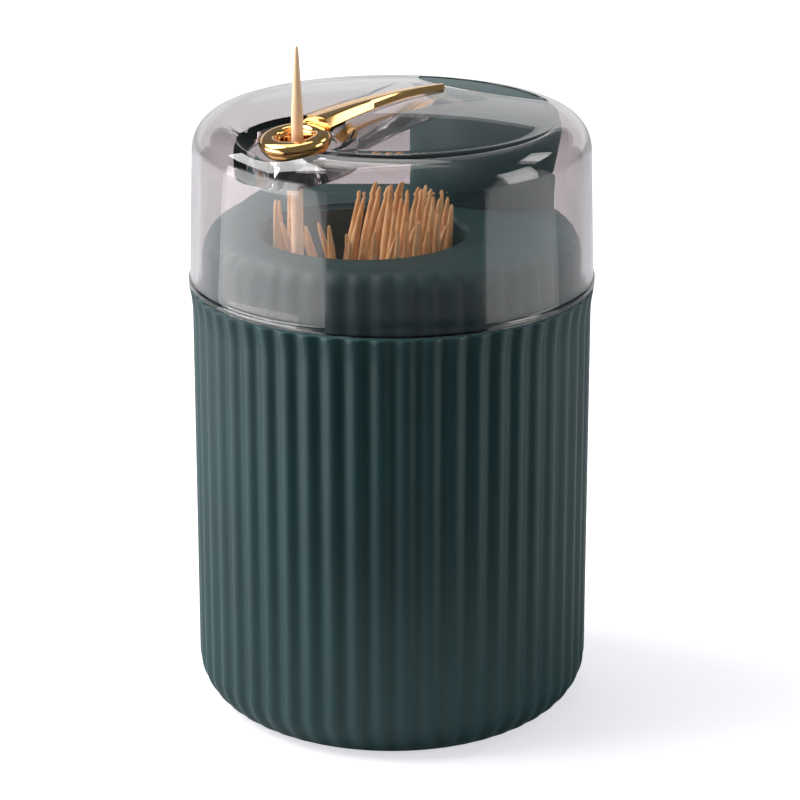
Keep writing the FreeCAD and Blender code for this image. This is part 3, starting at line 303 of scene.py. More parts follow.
def black_rubber():
    material, graph = new_material("black_rubber")
    grain = object_noise(graph, 2400, 3)
    finish(graph, {
        "Base Color": mixed(graph, grain, colour(24, 22, 24), colour(40, 38, 40)),
        "Roughness": 0.6 + 0.2 * grain,
        "Normal": bump(graph, grain, 0.25, 0.04 * MM),
    })
    return material


WHITE = white_plastic()
STEEL = steel("steel", colour(176, 178, 182))
SPRING_STEEL = steel("spring_steel", colour(140, 142, 148))
RUBBER = black_rubber()
FINISHES = {
    "green_plastic": GREEN, "smoked_plastic": SMOKE, "gold_metal": GOLD, "birch": BIRCH,
    "white_plastic": WHITE, "steel": STEEL, "spring_steel": SPRING_STEEL, "black_rubber": RUBBER,
}
for part in frame["record"]["subparts"]:
    for slot in frame["nodes"][part["node"]].material_slots:
        slot.material = FINISHES[part["material_slot"]]
print("Every CAD node has its finish")

# %% [markdown]
# ## Shapes that turn
# Most skins here are rings stacked along a profile. A profile is a list of (radius, height)
# points in millimetres; arcs are filled in by a helper, so that a rounded corner is stated by
# its ends and its radius.

# %% Profile and shell helpers
def arc(start, end, radius, steps):
    """Points after start up to end; a positive radius bulges to the right of the way."""
    first, last = Vector(start), Vector(end)
    across = last - first
    right = Vector((across.y, -across.x)).normalized()
    sign = 1 if radius > 0 else -1
    fall = math.sqrt(max(radius * radius - across.length_squared / 4, 0))
    centre = (first + last) / 2 - right * sign * fall
    begin = math.atan2(first.y - centre.y, first.x - centre.x)
    sweep = math.atan2(last.y - centre.y, last.x - centre.x) - begin
    if sweep > math.pi:
        sweep -= 2 * math.pi
    if sweep < -math.pi:
        sweep += 2 * math.pi
    points = []
    for step in range(1, steps + 1):
        angle = begin + sweep * step / steps
        points.append((centre.x + abs(radius) * math.cos(angle),
                       centre.y + abs(radius) * math.sin(angle)))
    return points


def line(start, end, steps):
    """Points after start up to end, evenly spaced."""
    first, last = Vector(start), Vector(end)
    return [tuple(first.lerp(last, step / steps)) for step in range(1, steps + 1)]


def new_piece(name, mesh, material=None):
    """Object of a mesh, linked to the scene."""
    piece = bpy.data.objects.new(name, mesh)
    bpy.context.scene.collection.objects.link(piece)
    if material:
        mesh.materials.append(material)
    return piece


def ring_mesh(name, rows, columns, closed=True, weights=None):
    """Mesh of stacked rings; rows are (radius, height) or (radius, height, middle y) in mm."""
    mesh = bpy.data.meshes.new(name)
    points, faces = [], []
    for radius, height, *middle in rows:
        shift = middle[0] if middle else 0.0
        for column in range(columns):
            turn = 2 * math.pi * column / columns
            points.append((radius * math.cos(turn) * MM,
                           (radius * math.sin(turn) + shift) * MM, height * MM))
    count = len(rows) if closed else len(rows) - 1
    for row in range(count):
        below, above = row * columns, (row + 1) % len(rows) * columns
        for column in range(columns):
            after = (column + 1) % columns
            faces.append((below + column, below + after, above + after, above + column))
    mesh.from_pydata(points, [], faces)
    if weights:
        layer = mesh.attributes.new("flute", "FLOAT", "POINT")
        values = [weight for weight in weights for column in range(columns)]
        layer.data.foreach_set("value", values)
    tidy_mesh(mesh)
    return mesh


def tidy_mesh(mesh):
    """Closes poles, turns faces outwards and smooths all but sharp edges."""
    shape = bmesh.new()
    shape.from_mesh(mesh)
    bmesh.ops.remove_doubles(shape, verts=shape.verts, dist=0.0005 * MM)
    bmesh.ops.recalc_face_normals(shape, faces=shape.faces)
    shape.to_mesh(mesh)
    shape.free()
    smooth(mesh)


def smooth(mesh, degrees=32):
    """Smooth shading, but for edges that turn by more than the degrees."""
    mesh.shade_smooth()
    mesh.set_sharp_from_angle(angle=math.radians(degrees))


def dress(piece, material, degrees=32):
    """Gives the whole piece one material and smooths it."""
    piece.data.materials.clear()
    piece.data.materials.append(material)
    smooth(piece.data, degrees)


def mesh_of(name, points, faces):
    """Clean mesh of points, in metres, and faces."""
    mesh = bpy.data.meshes.new(name)
    mesh.from_pydata(points, [], faces)
    tidy_mesh(mesh)
    return mesh


def around(count, radius, first_degrees):
    """Evenly spaced (x, y) places on a circle."""
    turns = [math.radians(first_degrees + 360 / count * number) for number in range(count)]
    return [(radius * math.cos(turn), radius * math.sin(turn)) for turn in turns]


def cut_away(piece, tool, operation="DIFFERENCE"):
    """Boolean of two meshes, applied at once; the tool is then deleted."""
    modifier = piece.modifiers.new("cut", "BOOLEAN")
    modifier.operation = operation
    modifier.solver = "EXACT"
    modifier.object = tool
    settle(piece)
    bpy.data.objects.remove(tool)


def settle(piece):
    """Turns a piece with modifiers into a plain mesh."""
    view = bpy.context.evaluated_depsgraph_get()
    mesh = bpy.data.meshes.new_from_object(piece.evaluated_get(view))
    piece.modifiers.clear()
    piece.data = mesh


print("Shape helpers are ready")

# %% [markdown]
# ## Flutes
# The cup and the barrel inside it carry 52 upright flutes. One Geometry Nodes tree makes both:
# it draws each point of a smooth shell inwards by a wave round the axis. A weight on the points
# says how deep the flute is there, so that it fades at a rim or over a shoulder.

# %% Start, end and use of a geometry tree
def start_tree(name, kinds):
    """A geometry tree's graph and its named inputs; kinds are socket types by name."""
    tree = bpy.data.node_groups.new(name, "GeometryNodeTree")
    for label, kind in {"Geometry": "Geometry", **kinds, "Material": "Material"}.items():
        tree.interface.new_socket(label, in_out="INPUT", socket_type="NodeSocket" + kind)
    tree.interface.new_socket("Geometry", in_out="OUTPUT", socket_type="NodeSocketGeometry")
    graph = Graph(tree)
    given = tree.nodes.new("NodeGroupInput")
    return graph, {socket.name: Socket(graph, socket) for socket in given.outputs if socket.name}


def end_tree(graph, geometry, material):
    """Makes the result real, gives it its material and returns the tree."""
    whole = graph.node("GeometryNodeRealizeInstances", {}, {"Geometry": geometry})
    dressed = graph.node("GeometryNodeSetMaterial", {}, {
        "Geometry": whole, "Material": material})
    graph.node("NodeGroupOutput", {}, {0: dressed}, output=None)
    return graph.tree


def run_tree(piece, tree, values):
    """Gives a piece the tree's shape as a plain mesh."""
    modifier = piece.modifiers.new("nodes", "NODES")
    modifier.node_group = tree
    for item in tree.interface.items_tree:
        if item.in_out == "INPUT" and item.name in values:
            modifier[item.identifier] = values[item.name]
    settle(piece)
    smooth(piece.data)


print("Helpers for geometry trees are ready")

# %% The flute tree
FLUTES = 52
FLUTE_FULLNESS = 1.15


def flute_tree():
    graph, take = start_tree("flutes", {"Count": "Float", "Depth": "Float", "Fullness": "Float"})
    place = graph.node("GeometryNodeInputPosition")
    along_x = graph.node("ShaderNodeSeparateXYZ", {}, {"Vector": place}, output="X")
    along_y = graph.node("ShaderNodeSeparateXYZ", {}, {"Vector": place}, output="Y")
    turn = along_y.math("ARCTAN2", along_x)
    wave = 0.5 + 0.5 * (turn * take["Count"]).math("COSINE")
    weight = graph.node("GeometryNodeInputNamedAttribute", {"data_type": "FLOAT"},
                        {"Name": "flute"})
    depth = wave ** take["Fullness"] * weight * take["Depth"] * -1.0
    flat = graph.node("ShaderNodeVectorMath", {"operation": "MULTIPLY"}, {
        0: place, 1: (1, 1, 0)})
    outward = graph.node("ShaderNodeVectorMath", {"operation": "NORMALIZE"}, {0: flat})
    offset = graph.node("ShaderNodeVectorMath", {"operation": "SCALE"}, {
        0: outward, "Scale": depth})
    moved = graph.node("GeometryNodeSetPosition", {}, {
        "Geometry": take["Geometry"], "Offset": offset})
    return end_tree(graph, moved, take["Material"])


FLUTE_TREE = flute_tree()
print("The flute tree is ready for", FLUTES, "flutes")

# %% [markdown]
# ## The cup
# The cup is one moulding: a thin wall with a rounded foot, a slight flare at the rim and a ledge
# inside. Its profile is turned, and the flute tree then draws it in, so that the flutes run round
# the foot and out to the rim, where they leave the scalloped edge that the photograph shows.

# %% Cup
COLUMNS = FLUTES * 12
CUP_FLUTE_DEPTH = 0.66
FOOT_FADE_ROWS = 6


def cup_profile():
    """Rows (radius, height) of the cup and how deep the flutes are at each."""
    foot = [(29.2, 0.0), (29.5, 0.0), *arc((29.5, 0.0), (34.5, 7.7), 8.43, 14)]
    wall = line((34.5, 7.7), (34.4, 70.0), 6)
    flare = arc((34.4, 70.0), (35.0, 75.45), -25.0, 6)
    rim = [(34.92, 75.64), (34.75, 75.7)]
    inside = [(32.95, 75.7), (32.75, 75.5), (32.75, 56.0), (31.9, 56.0), (31.9, 5.2), (29.0, 2.3),
              (29.0, 0.2)]
    outside = foot + wall + flare + rim
    fades = [min(1.0, max(row - 1, 0) / FOOT_FADE_ROWS) for row in range(len(outside))]
    return outside + inside, fades + [0.0] * len(inside)


rows, weights = cup_profile()
cup = new_piece("cup_shell", ring_mesh("cup_shell", rows, COLUMNS, weights=weights))
run_tree(cup, FLUTE_TREE, {"Count": FLUTES, "Depth": CUP_FLUTE_DEPTH * MM,
                           "Fullness": FLUTE_FULLNESS, "Material": GREEN})
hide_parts("outer_body")
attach(cup, "housing")
print("Cup:", len(cup.data.polygons), "faces")

# %% [markdown]
# ## The barrel
# The barrel is the darker shape behind the lid: it stands on the cup's ledge, is fluted like it,
# and closes over in a rounded shoulder and a flat deck. The deck's rings slide off centre row by
# row until they meet the round well, which makes a clean mesh with no cut at all. Only the
# push rod's hole and the raised toothpick's notch are cut with booleans.

# %% Barrel
WELL_RADIUS = 17.1
WELL_Y = -7.2
WELL_LIP = 0.9
DECK = 86.2
DECK_UNDER = 84.4
DECK_ROWS = 6
BARREL_RADIUS = 32.6
BARREL_BORE = 31.0
BARREL_FOOT = 56.0
BARREL_SHOULDER = 3.8
BARREL_FLUTE_DEPTH = 0.6
ROD_Y = 22.0
ROD_HOLE = 2.05
RING_Y = -23.5
NOTCH = 1.5


def tube_tool(name, radius, low, high, x=0.0, y=0.0, columns=64):
    """Closed cylinder in millimetres, used to cut or to add."""
    mesh = ring_mesh(name, [(0, low), (radius, low), (radius, high), (0, high)], columns,
                     closed=False)
    mesh.transform(Matrix.Translation(Vector((x, y, 0)) * MM))
    return new_piece(name, mesh)


def barrel_profile():
    """Rows (radius, height, middle y) of the barrel and how deep the flutes are at each."""
    foot = (BARREL_RADIUS, BARREL_FOOT)
    turn = (BARREL_RADIUS, DECK - BARREL_SHOULDER)
    edge = BARREL_RADIUS - BARREL_SHOULDER
    wall = line(foot, turn, 4)
    shoulder = arc(turn, (edge, DECK), BARREL_SHOULDER, 10)
    inwards = edge - WELL_RADIUS - WELL_LIP
    deck = [(edge - inwards * step / DECK_ROWS, DECK, WELL_Y * step / DECK_ROWS)
            for step in range(1, DECK_ROWS + 1)]
    lip = [(radius, height, WELL_Y) for radius, height in arc(
        (WELL_RADIUS + WELL_LIP, DECK), (WELL_RADIUS, DECK - WELL_LIP), -WELL_LIP, 6)]
    under = [(WELL_RADIUS, DECK_UNDER, WELL_Y), (29.4, DECK_UNDER),
             (BARREL_BORE, DECK - BARREL_SHOULDER), (BARREL_BORE, BARREL_FOOT), foot]
    rows = wall + shoulder + deck + lip + under
    weights = [1.0] * len(wall)
    weights += [1.0 - (step / len(shoulder)) ** 1.5 for step in range(1, len(shoulder) + 1)]
    weights += [0.0] * (len(deck) + len(lip) + len(under) - 1) + [1.0]
    return rows, weights


rows, weights = barrel_profile()
barrel = new_piece("barrel_shell", ring_mesh("barrel_shell", rows, COLUMNS, weights=weights))
run_tree(barrel, FLUTE_TREE, {"Count": FLUTES, "Depth": BARREL_FLUTE_DEPTH * MM,
                              "Fullness": FLUTE_FULLNESS, "Material": GREEN})
cut_away(barrel, tube_tool("rod_hole", ROD_HOLE, 70, 90, 0, ROD_Y))
cut_away(barrel, tube_tool("notch", NOTCH, BARREL_FOOT, 90, 0, RING_Y))
smooth(barrel.data)
print("Barrel:", len(barrel.data.polygons), "faces")

# %% Sleeve and pegs under the deck
def joined(piece, *others):
    """Adds the meshes of other pieces to the first."""
    shape = bmesh.new()
    for part in (piece, *others):
        shape.from_mesh(part.data)
    shape.to_mesh(piece.data)
    shape.free()
    for part in others:
        bpy.data.objects.remove(part)


def thick_tube(name, inner, outer, low, high, x, y):
    """Upright tube with a bore, in millimetres."""
    mesh = ring_mesh(name, [(inner, low), (outer, low), (outer, high), (inner, high)], 48)
    mesh.transform(Matrix.Translation(Vector((x, y, 0)) * MM))
    return new_piece(name, mesh)


FITTING_TOP = DECK_UNDER + 0.2
PEG_CIRCLE = 21.8
fittings = [thick_tube("sleeve", ROD_HOLE, 3.2, 76.0, FITTING_TOP, 0, ROD_Y)]
fittings += [thick_tube("peg", 1.25, 2.8, 78.4, FITTING_TOP, x, y + WELL_Y)
             for x, y in around(3, PEG_CIRCLE, 90)]
joined(barrel, *fittings)
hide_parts("inner_barrel")
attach(barrel, "housing")
print("Barrel with its sleeve and pegs:", len(barrel.data.polygons), "faces")

# %% [markdown]
# ## The half-moon button and its tower
# The button is a cap whose plan is a half moon: a small arc faces the well and a large arc follows
# the lid's shoulder. One function draws that plan for the cap, for the tower that guides it and
# for the opening in the lid, so that the gaps between them stay even.

# %% Half-moon plan
BUTTON_ARC = 16.3
BUTTON_CENTRE = 32.5
BUTTON_OUTER = 28.0
SLIDE_GAP = 0.35


def moon_plan(grow, steps=40):
    """Closed outline in (x, y); grow moves it outwards on every side."""
    inner, outer = BUTTON_ARC + grow, BUTTON_OUTER + grow
    tip_y = (BUTTON_CENTRE ** 2 + outer ** 2 - inner ** 2) / (2 * BUTTON_CENTRE)
    tip_x = math.sqrt(outer ** 2 - tip_y ** 2)
    # the tips, where the two arcs cross, as angles on the large arc and on the small one
    far = math.atan2(tip_y, tip_x)
    near = math.atan2(tip_y - BUTTON_CENTRE, tip_x)
    points = []
    for step in range(steps):
        turn = far + (math.pi - 2 * far) * step / steps
        points.append((outer * math.cos(turn), outer * math.sin(turn)))
    for step in range(steps):
        turn = math.pi - near + (math.pi + 2 * near) * step / steps
        points.append((inner * math.cos(turn), BUTTON_CENTRE + inner * math.sin(turn)))
    return points


def prism_piece(name, plan, low, high):
    """Upright prism; low and high are heights or functions of (x, y)."""
    def level(height, x, y):
        return height(x, y) if callable(height) else height
    count = len(plan)
    points = [(x * MM, y * MM, level(low, x, y) * MM) for x, y in plan]
    points += [(x * MM, y * MM, level(high, x, y) * MM) for x, y in plan]
    faces = [tuple(range(count))[::-1], tuple(range(count, 2 * count))]
    for step in range(count):
        after = (step + 1) % count
        faces.append((step, after, count + after, count + step))
    return new_piece(name, mesh_of(name, points, faces))


print("The half moon has", len(moon_plan(0)), "corners")

# %% The dome's own curve
DOME_TOP = 107.65
DOME_EDGE = (27.84, 105.2)
LID_SHOULDER = (34.04, 99.7)
SHOULDER_ROUND = 5.95
DOME_RISE = DOME_TOP - DOME_EDGE[1]
DOME_ROUND = (DOME_EDGE[0] ** 2 + DOME_RISE ** 2) / (2 * DOME_RISE)


def dome_height(radius, inset=0.0):
    """Height of the dome's surface at a radius, an inset below the outer skin."""
    ball = DOME_ROUND - inset
    return DOME_TOP - inset - ball + math.sqrt(ball * ball - radius * radius)


def dome_rows(inset, steps):
    """Rows from the shoulder's foot to the middle of the dome."""
    shoulder = (LID_SHOULDER[0] - inset, LID_SHOULDER[1])
    edge = (DOME_EDGE[0], DOME_EDGE[1] - inset)
    return [shoulder, *arc(shoulder, edge, SHOULDER_ROUND - inset, steps),
            *arc(edge, (0.0, DOME_TOP - inset), DOME_ROUND - inset, steps)]


print(f"The dome's radius is {DOME_ROUND:.1f} mm")

# %% Button cap
BUTTON_LOW = 96.0
BUTTON_CEILING = 103.9
BUTTON_SINK = 0.12
BUTTON_WALL = 1.4
BUTTON_EDGE = 0.35
ABOVE_DOME = 109.0


def rounded_edges(piece, width, segments=3, degrees=40):
    """Bevels every sharp edge of a piece."""
    modifier = piece.modifiers.new("edges", "BEVEL")
    modifier.width = width * MM
    modifier.segments = segments
    modifier.limit_method = "ANGLE"
    modifier.angle_limit = math.radians(degrees)
    modifier.harden_normals = False
    settle(piece)
    smooth(piece.data)


def dome_solid(name, low, inset, steps):
    """Solid under the dome, an inset below its outer skin."""
    rows = [(0.0, low), (LID_SHOULDER[0] - inset, low), *dome_rows(inset, steps)]
    return new_piece(name, ring_mesh(name, rows, 192, closed=False))


button = prism_piece("button_cap", moon_plan(0.0), BUTTON_LOW, ABOVE_DOME)
cut_away(button, dome_solid("button_dome", BUTTON_LOW - 1, BUTTON_SINK, 16), "INTERSECT")
rounded_edges(button, BUTTON_EDGE)
cut_away(button, prism_piece("button_hollow", moon_plan(-BUTTON_WALL), BUTTON_LOW - 1,
                             BUTTON_CEILING))
joined(button, thick_tube("rod_socket", 1.5, 2.6, 97.0, BUTTON_CEILING + 0.3, 0, ROD_Y))
dress(button, GREEN)
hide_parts("press_button")
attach(button, "button")
print("Button:", len(button.data.polygons), "faces")

# %% Button tower
TOWER_TOP = 102.6
TOWER_WALL = 1.5
tower = prism_piece("tower_tube", moon_plan(SLIDE_GAP + TOWER_WALL), DECK, TOWER_TOP)
cut_away(tower, prism_piece("tower_bore", moon_plan(SLIDE_GAP), DECK - 1, 104))
rounded_edges(tower, 0.3, 2)
dress(tower, GREEN)
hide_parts("button_tower")
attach(tower, "housing")
print("Tower:", len(tower.data.polygons), "faces")

# %% [markdown]
# The return spring stands round the push rod, inside the tower. Its end turns lie close together
# and the others are open. Its foot stays on the deck.

# %% Return spring
SPRING_RADIUS = 3.45
WIRE_RADIUS = 0.35
SPRING_TURNS = 6
TURN_STEPS = 28
WIRE_SIDES = 10
CLOSED_TURNS = 0.8
OPENING_TURNS = 0.5
CLOSED_PITCH = 0.78


def spring_heights(low, high):
    """Heights of the wire's middle line, one for each step along it."""
    count = SPRING_TURNS * TURN_STEPS
    ends = [min(step + 0.5, count - step - 0.5) / TURN_STEPS for step in range(count)]
    shares = [min(1.0, max(0.0, (turns - CLOSED_TURNS) / OPENING_TURNS)) for turns in ends]
    closed = sum(1 - share for share in shares)
    pitch = ((high - low) * TURN_STEPS - CLOSED_PITCH * closed) / (count - closed)
    heights = [low]
    for share in shares:
        heights.append(heights[-1] + (CLOSED_PITCH * (1 - share) + pitch * share) / TURN_STEPS)
    return heights


def spring_mesh(low, high):
    """Round wire wound between two heights."""
    points, faces = [], []
    heights = spring_heights(low + WIRE_RADIUS, high - WIRE_RADIUS)
    for step, height in enumerate(heights):
        turn = 2 * math.pi * step / TURN_STEPS
        out = Vector((math.cos(turn), math.sin(turn), 0))
        for side in range(WIRE_SIDES):
            way = 2 * math.pi * side / WIRE_SIDES
            spot = out * (SPRING_RADIUS + WIRE_RADIUS * math.cos(way))
            rise = height + WIRE_RADIUS * math.sin(way)
            points.append((spot + Vector((0, ROD_Y, rise))) * MM)
    for step in range(len(heights) - 1):
        for side in range(WIRE_SIDES):
            here, after = step * WIRE_SIDES, (side + 1) % WIRE_SIDES
            faces.append((here + side, here + after, here + WIRE_SIDES + after,
                          here + WIRE_SIDES + side))
    last = (len(heights) - 1) * WIRE_SIDES
    faces += [tuple(range(WIRE_SIDES)), tuple(range(last, last + WIRE_SIDES))]
    return mesh_of("spring_coil", points, faces)


spring_low, spring_high = (corner[2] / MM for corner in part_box("return_spring"))
spring = new_piece("spring_coil", spring_mesh(spring_low, spring_high), SPRING_STEEL)
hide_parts("return_spring")
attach(spring, "housing")
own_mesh(spring)
print(f"Spring: {spring_low:.2f} to {spring_high:.2f} mm, {len(spring.data.polygons)} faces")

# %% [markdown]
# ## The lid
# The lid is clear plastic with real thickness, so it is one closed shell with an outer and an
# inner skin: the renderer bends light at both. The spoon-shaped thickening that carries the ring
# is joined to it with a boolean, because two overlapping clear solids would show a false wall
# where they meet. The seat, the bush's bore and the button's opening are cut afterwards.

# %% Lid shell
LID_WALL = 1.6


def lid_rows():
    """Rows of the outer skin downwards, the foot and the inner skin upwards."""
    outside = dome_rows(0.0, 18)[::-1]
    foot = [(34.75, 77.4), (34.9, 77.25), (35.0, 77.0), (35.0, 76.25), (34.85, 76.05),
            (34.6, 76.0), (33.4, 76.0), (33.2, 76.1), (33.15, 76.3)]
    inside = dome_rows(LID_WALL, 18)
    wall_out = line(outside[-1], foot[0], 6)[:-1]
    wall_in = line(foot[-1], inside[0], 6)[:-1]
    return outside + wall_out + foot + wall_in + inside


lid = new_piece("lid_shell", ring_mesh("lid_shell", lid_rows(), 240, closed=False))
print("Lid shell:", len(lid.data.polygons), "faces")

# %% Spoon under the dome
BOWL_RADIUS = 10.0
BOWL_STEPS = 40
WAIST = (7.0, -16.4)
TAIL = (12.6, 18.5)
SPOON_SIDE_ROUND = -60.0
SPOON_LOW = 100.0
SPOON_SLOPE = 0.14


def spoon_plan():
    """Bowl, waist and tail in (x, y), counterclockwise from the waist's right side."""
    right = [WAIST, *arc(WAIST, TAIL, SPOON_SIDE_ROUND, 14)]
    left = [(-x, y) for x, y in reversed(right)]
    start = math.atan2(WAIST[1] - RING_Y, -WAIST[0])
    bowl = []
    for step in range(1, BOWL_STEPS):
        turn = start + (3 * math.pi - 2 * start) * step / BOWL_STEPS
        bowl.append((BOWL_RADIUS * math.cos(turn), RING_Y + BOWL_RADIUS * math.sin(turn)))
    return right + left + bowl


def spoon_low(x, y):
    """Height of the spoon's underside, which rises from the bowl to the tail."""
    return SPOON_LOW + SPOON_SLOPE * (y - RING_Y)


spoon = prism_piece("spoon", spoon_plan(), spoon_low, ABOVE_DOME)
rounded_edges(spoon, 0.7, 3, 60)
cut_away(spoon, dome_solid("spoon_dome", 90.0, LID_WALL / 2, 18), "INTERSECT")
cut_away(lid, spoon, "UNION")
print("Lid with its spoon:", len(lid.data.polygons), "faces")

# %% Ring seat, bores and opening
RING_PLACE = Vector((0.0, -24.2, 106.1)) * MM
RING_TILT = Matrix.Rotation(math.radians(8.6), 4, "X")
ON_RING = Matrix.Translation(RING_PLACE) @ RING_TILT
RING_LOW = -3.1
DISH_FLOOR = (7.0, -2.5)
DISH_RIM = (9.9, -0.6)
DISH_TOP = 4

seat = tube_tool("ring_seat", 6.75, RING_LOW, 4.0, columns=96)
dish_rows = [(0, DISH_FLOOR[1]), DISH_FLOOR, *arc(DISH_FLOOR, DISH_RIM, 5.5, 8),
             (DISH_RIM[0], DISH_TOP), (0, DISH_TOP)]
dish = new_piece("ring_dish", ring_mesh("ring_dish", dish_rows, 128, closed=False))
for tool in (seat, dish):
    tool.data.transform(ON_RING)
    cut_away(lid, tool)
cut_away(lid, tube_tool("bush_bore", 3.05, 95.0, 106.0, 0, RING_Y))
cut_away(lid, prism_piece("button_opening", moon_plan(SLIDE_GAP), 94.0, 112.0))
dress(lid, SMOKE)
tidy_mesh(lid.data)
lid.visible_shadow = False
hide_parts("smoke_lid")
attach(lid, "lid")
print("Lid:", len(lid.data.polygons), "faces")

# %% [markdown]
# ## The gold-coloured trim
# A thick ring with a four-lobed hole sits in the spoon's seat, tilted with the dome. A tapering
# arm runs from it over the dome to the button. The ring is turned and then cut with five
# cylinders. The arm is a skin over cross-sections that follow the dome's curve and narrow to a
# small blunt tip. Its flat top and sloping sides catch the light one after the other.

# %% Ring
LOBE_CIRCLE = 2.1


def trim_ring():
    """The ring as a closed disc, before its hole is cut."""
    rows = [(0.0, -0.9), (3.0, -0.9), (3.2, -0.7), (3.2, -0.55),
            *arc((3.2, -0.55), (3.95, 0.0), -0.9, 6), (4.9, 0.0),
            *arc((4.9, 0.0), (6.05, -1.35), -1.3, 10),
            *arc((6.05, -1.35), (5.1, -3.0), -3.4, 8), (4.9, RING_LOW), (0.0, RING_LOW)]
    return ring_mesh("trim", rows, 160, closed=False)


trim = new_piece("trim", trim_ring())
holes = [tube_tool("middle_hole", 1.6, -5, 2, columns=72)]
holes += [tube_tool("lobe", 0.95, -5, 2, x, y, 48) for x, y in around(4, LOBE_CIRCLE, 45)]
for hole in holes:
    cut_away(trim, hole)
trim.data.transform(ON_RING)
print("Ring:", len(trim.data.polygons), "faces")

# %% Arm
# each from the ring to the tip: place along y, half the width below and above, and the height
ARM_Y = (-18.9, 13.3)
ARM_HALF = (3.1, 0.6)
ARM_HALF_TOP = (1.75, 0.35)
ARM_HEIGHT = (1.45, 0.85)
ARM_SINK = 0.5
ARM_ROUND = 0.16
TIP_LENGTH, TIP_WIDTH, TIP_HEIGHT = 0.3, 0.55, 0.6


def part_way(ends, share):
    """The value at a share of the way between two ends."""
    return ends[0] + (ends[1] - ends[0]) * share


def arm_section(share):
    """Cross-section (x, height) of the arm at a share of the way from the ring to the tip."""
    y = part_way(ARM_Y, share)
    base = dome_height(abs(y))
    half = part_way(ARM_HALF, share)
    half_top = part_way(ARM_HALF_TOP, share)
    top = base + part_way(ARM_HEIGHT, share)
    slope = (Vector((half_top, top)) - Vector((half, base + 0.1))).normalized()
    right = [(half, base - ARM_SINK), (half, base + 0.05),
             (half_top - slope.x * ARM_ROUND * 2, top - slope.y * ARM_ROUND * 2),
             (half_top - slope.x * ARM_ROUND / 2, top - ARM_ROUND / 2.5),
             (half_top - ARM_ROUND * 1.6, top)]
    return y, right + [(-x, height) for x, height in reversed(right)]


def arm_mesh(steps=36):
    """Skin over the cross-sections, with a last small one that rounds the tip."""
    points, faces = [], []
    shares = [step / steps for step in range(steps + 1)]
    for share in shares:
        y, section = arm_section(share)
        points += [(x * MM, y * MM, height * MM) for x, height in section]
    size = len(arm_section(0)[1])
    tip_y, tip = arm_section(1.0)
    middle = sum(height for x, height in tip) / size
    points += [(x * TIP_WIDTH * MM, (tip_y + TIP_LENGTH) * MM,
                (middle + (height - middle) * TIP_HEIGHT) * MM) for x, height in tip]
    for row in range(len(shares)):
        for step in range(size):
            after = (step + 1) % size
            near, far = row * size, (row + 1) * size
            faces.append((near + step, near + after, far + after, far + step))
    faces.append(tuple(range(size)))
    last = len(shares) * size
    faces.append(tuple(range(last, last + size)))
    return mesh_of("arm", points, faces)


joined(trim, new_piece("arm", arm_mesh()))
dress(trim, GOLD, 38)
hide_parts("gold_trim")
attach(trim, "lid")
print("Trim:", len(trim.data.polygons), "faces")

# %% [markdown]
# ## Toothpicks
# Every toothpick is the same turned shape, so Geometry Nodes make them: a vertex for each foot,
# with the way it leans as an attribute, and one toothpick set on each. The supply stands in
# upright layers, each a fan in which no toothpick crosses its neighbour, as in the CAD model.
# The attribute's length is the toothpick's own share of the full length, so the tips are uneven.

# %% The toothpick tree
PICK_LENGTH = 65.0
PICK_RADIUS = 1.0
PICK_TAPER = 12.5


def pick_mesh(name, columns):
    """One toothpick on its foot at the origin, pointed at both ends."""
    def taper(base, way):
        steps = ((0.0, 0.0), (0.17, 0.12), (0.30, 0.6), (0.42, 2.2), (0.62, 5.5), (0.85, 9.0),
                 (0.97, 11.0), (1.0, PICK_TAPER))
        return [(PICK_RADIUS * share, base + way * along) for share, along in steps]
    straight = line((PICK_RADIUS, PICK_TAPER), (PICK_RADIUS, PICK_LENGTH - PICK_TAPER), 3)
    rows = taper(0.0, 1) + straight[:-1] + taper(PICK_LENGTH, -1)[::-1]
    return ring_mesh(name, rows, columns, closed=False)


def supply_tree():
    graph, take = start_tree("toothpicks", {"Toothpick": "Object", "Thickness": "Float",
                                            "Seed": "Int"})
    shape = graph.node("GeometryNodeObjectInfo", {}, {"Object": take["Toothpick"]},
                       output="Geometry")
    way = graph.node("GeometryNodeInputNamedAttribute", {"data_type": "FLOAT_VECTOR"},
                     {"Name": "way"})
    lean = graph.node("FunctionNodeAlignRotationToVector", {"axis": "Z"}, {"Vector": way})
    spin = graph.node("FunctionNodeRandomValue", {"data_type": "FLOAT"}, {
        2: 0.0, 3: 2 * math.pi, "Seed": take["Seed"]}, output=1)
    twist = graph.node("ShaderNodeCombineXYZ", {}, {"Z": spin})
    turned = graph.node("FunctionNodeRotateRotation", {"rotation_space": "LOCAL"}, {
        "Rotation": lean, "Rotate By": twist})
    length = graph.node("ShaderNodeVectorMath", {"operation": "LENGTH"}, {0: way},
                        output="Value")
    size = graph.node("ShaderNodeCombineXYZ", {}, {
        "X": take["Thickness"], "Y": take["Thickness"], "Z": length})
    placed = graph.node("GeometryNodeInstanceOnPoints", {}, {
        "Points": take["Geometry"], "Instance": shape, "Rotation": turned, "Scale": size})
    return end_tree(graph, placed, take["Material"])


SUPPLY_TREE = supply_tree()
print("The toothpick tree is ready")

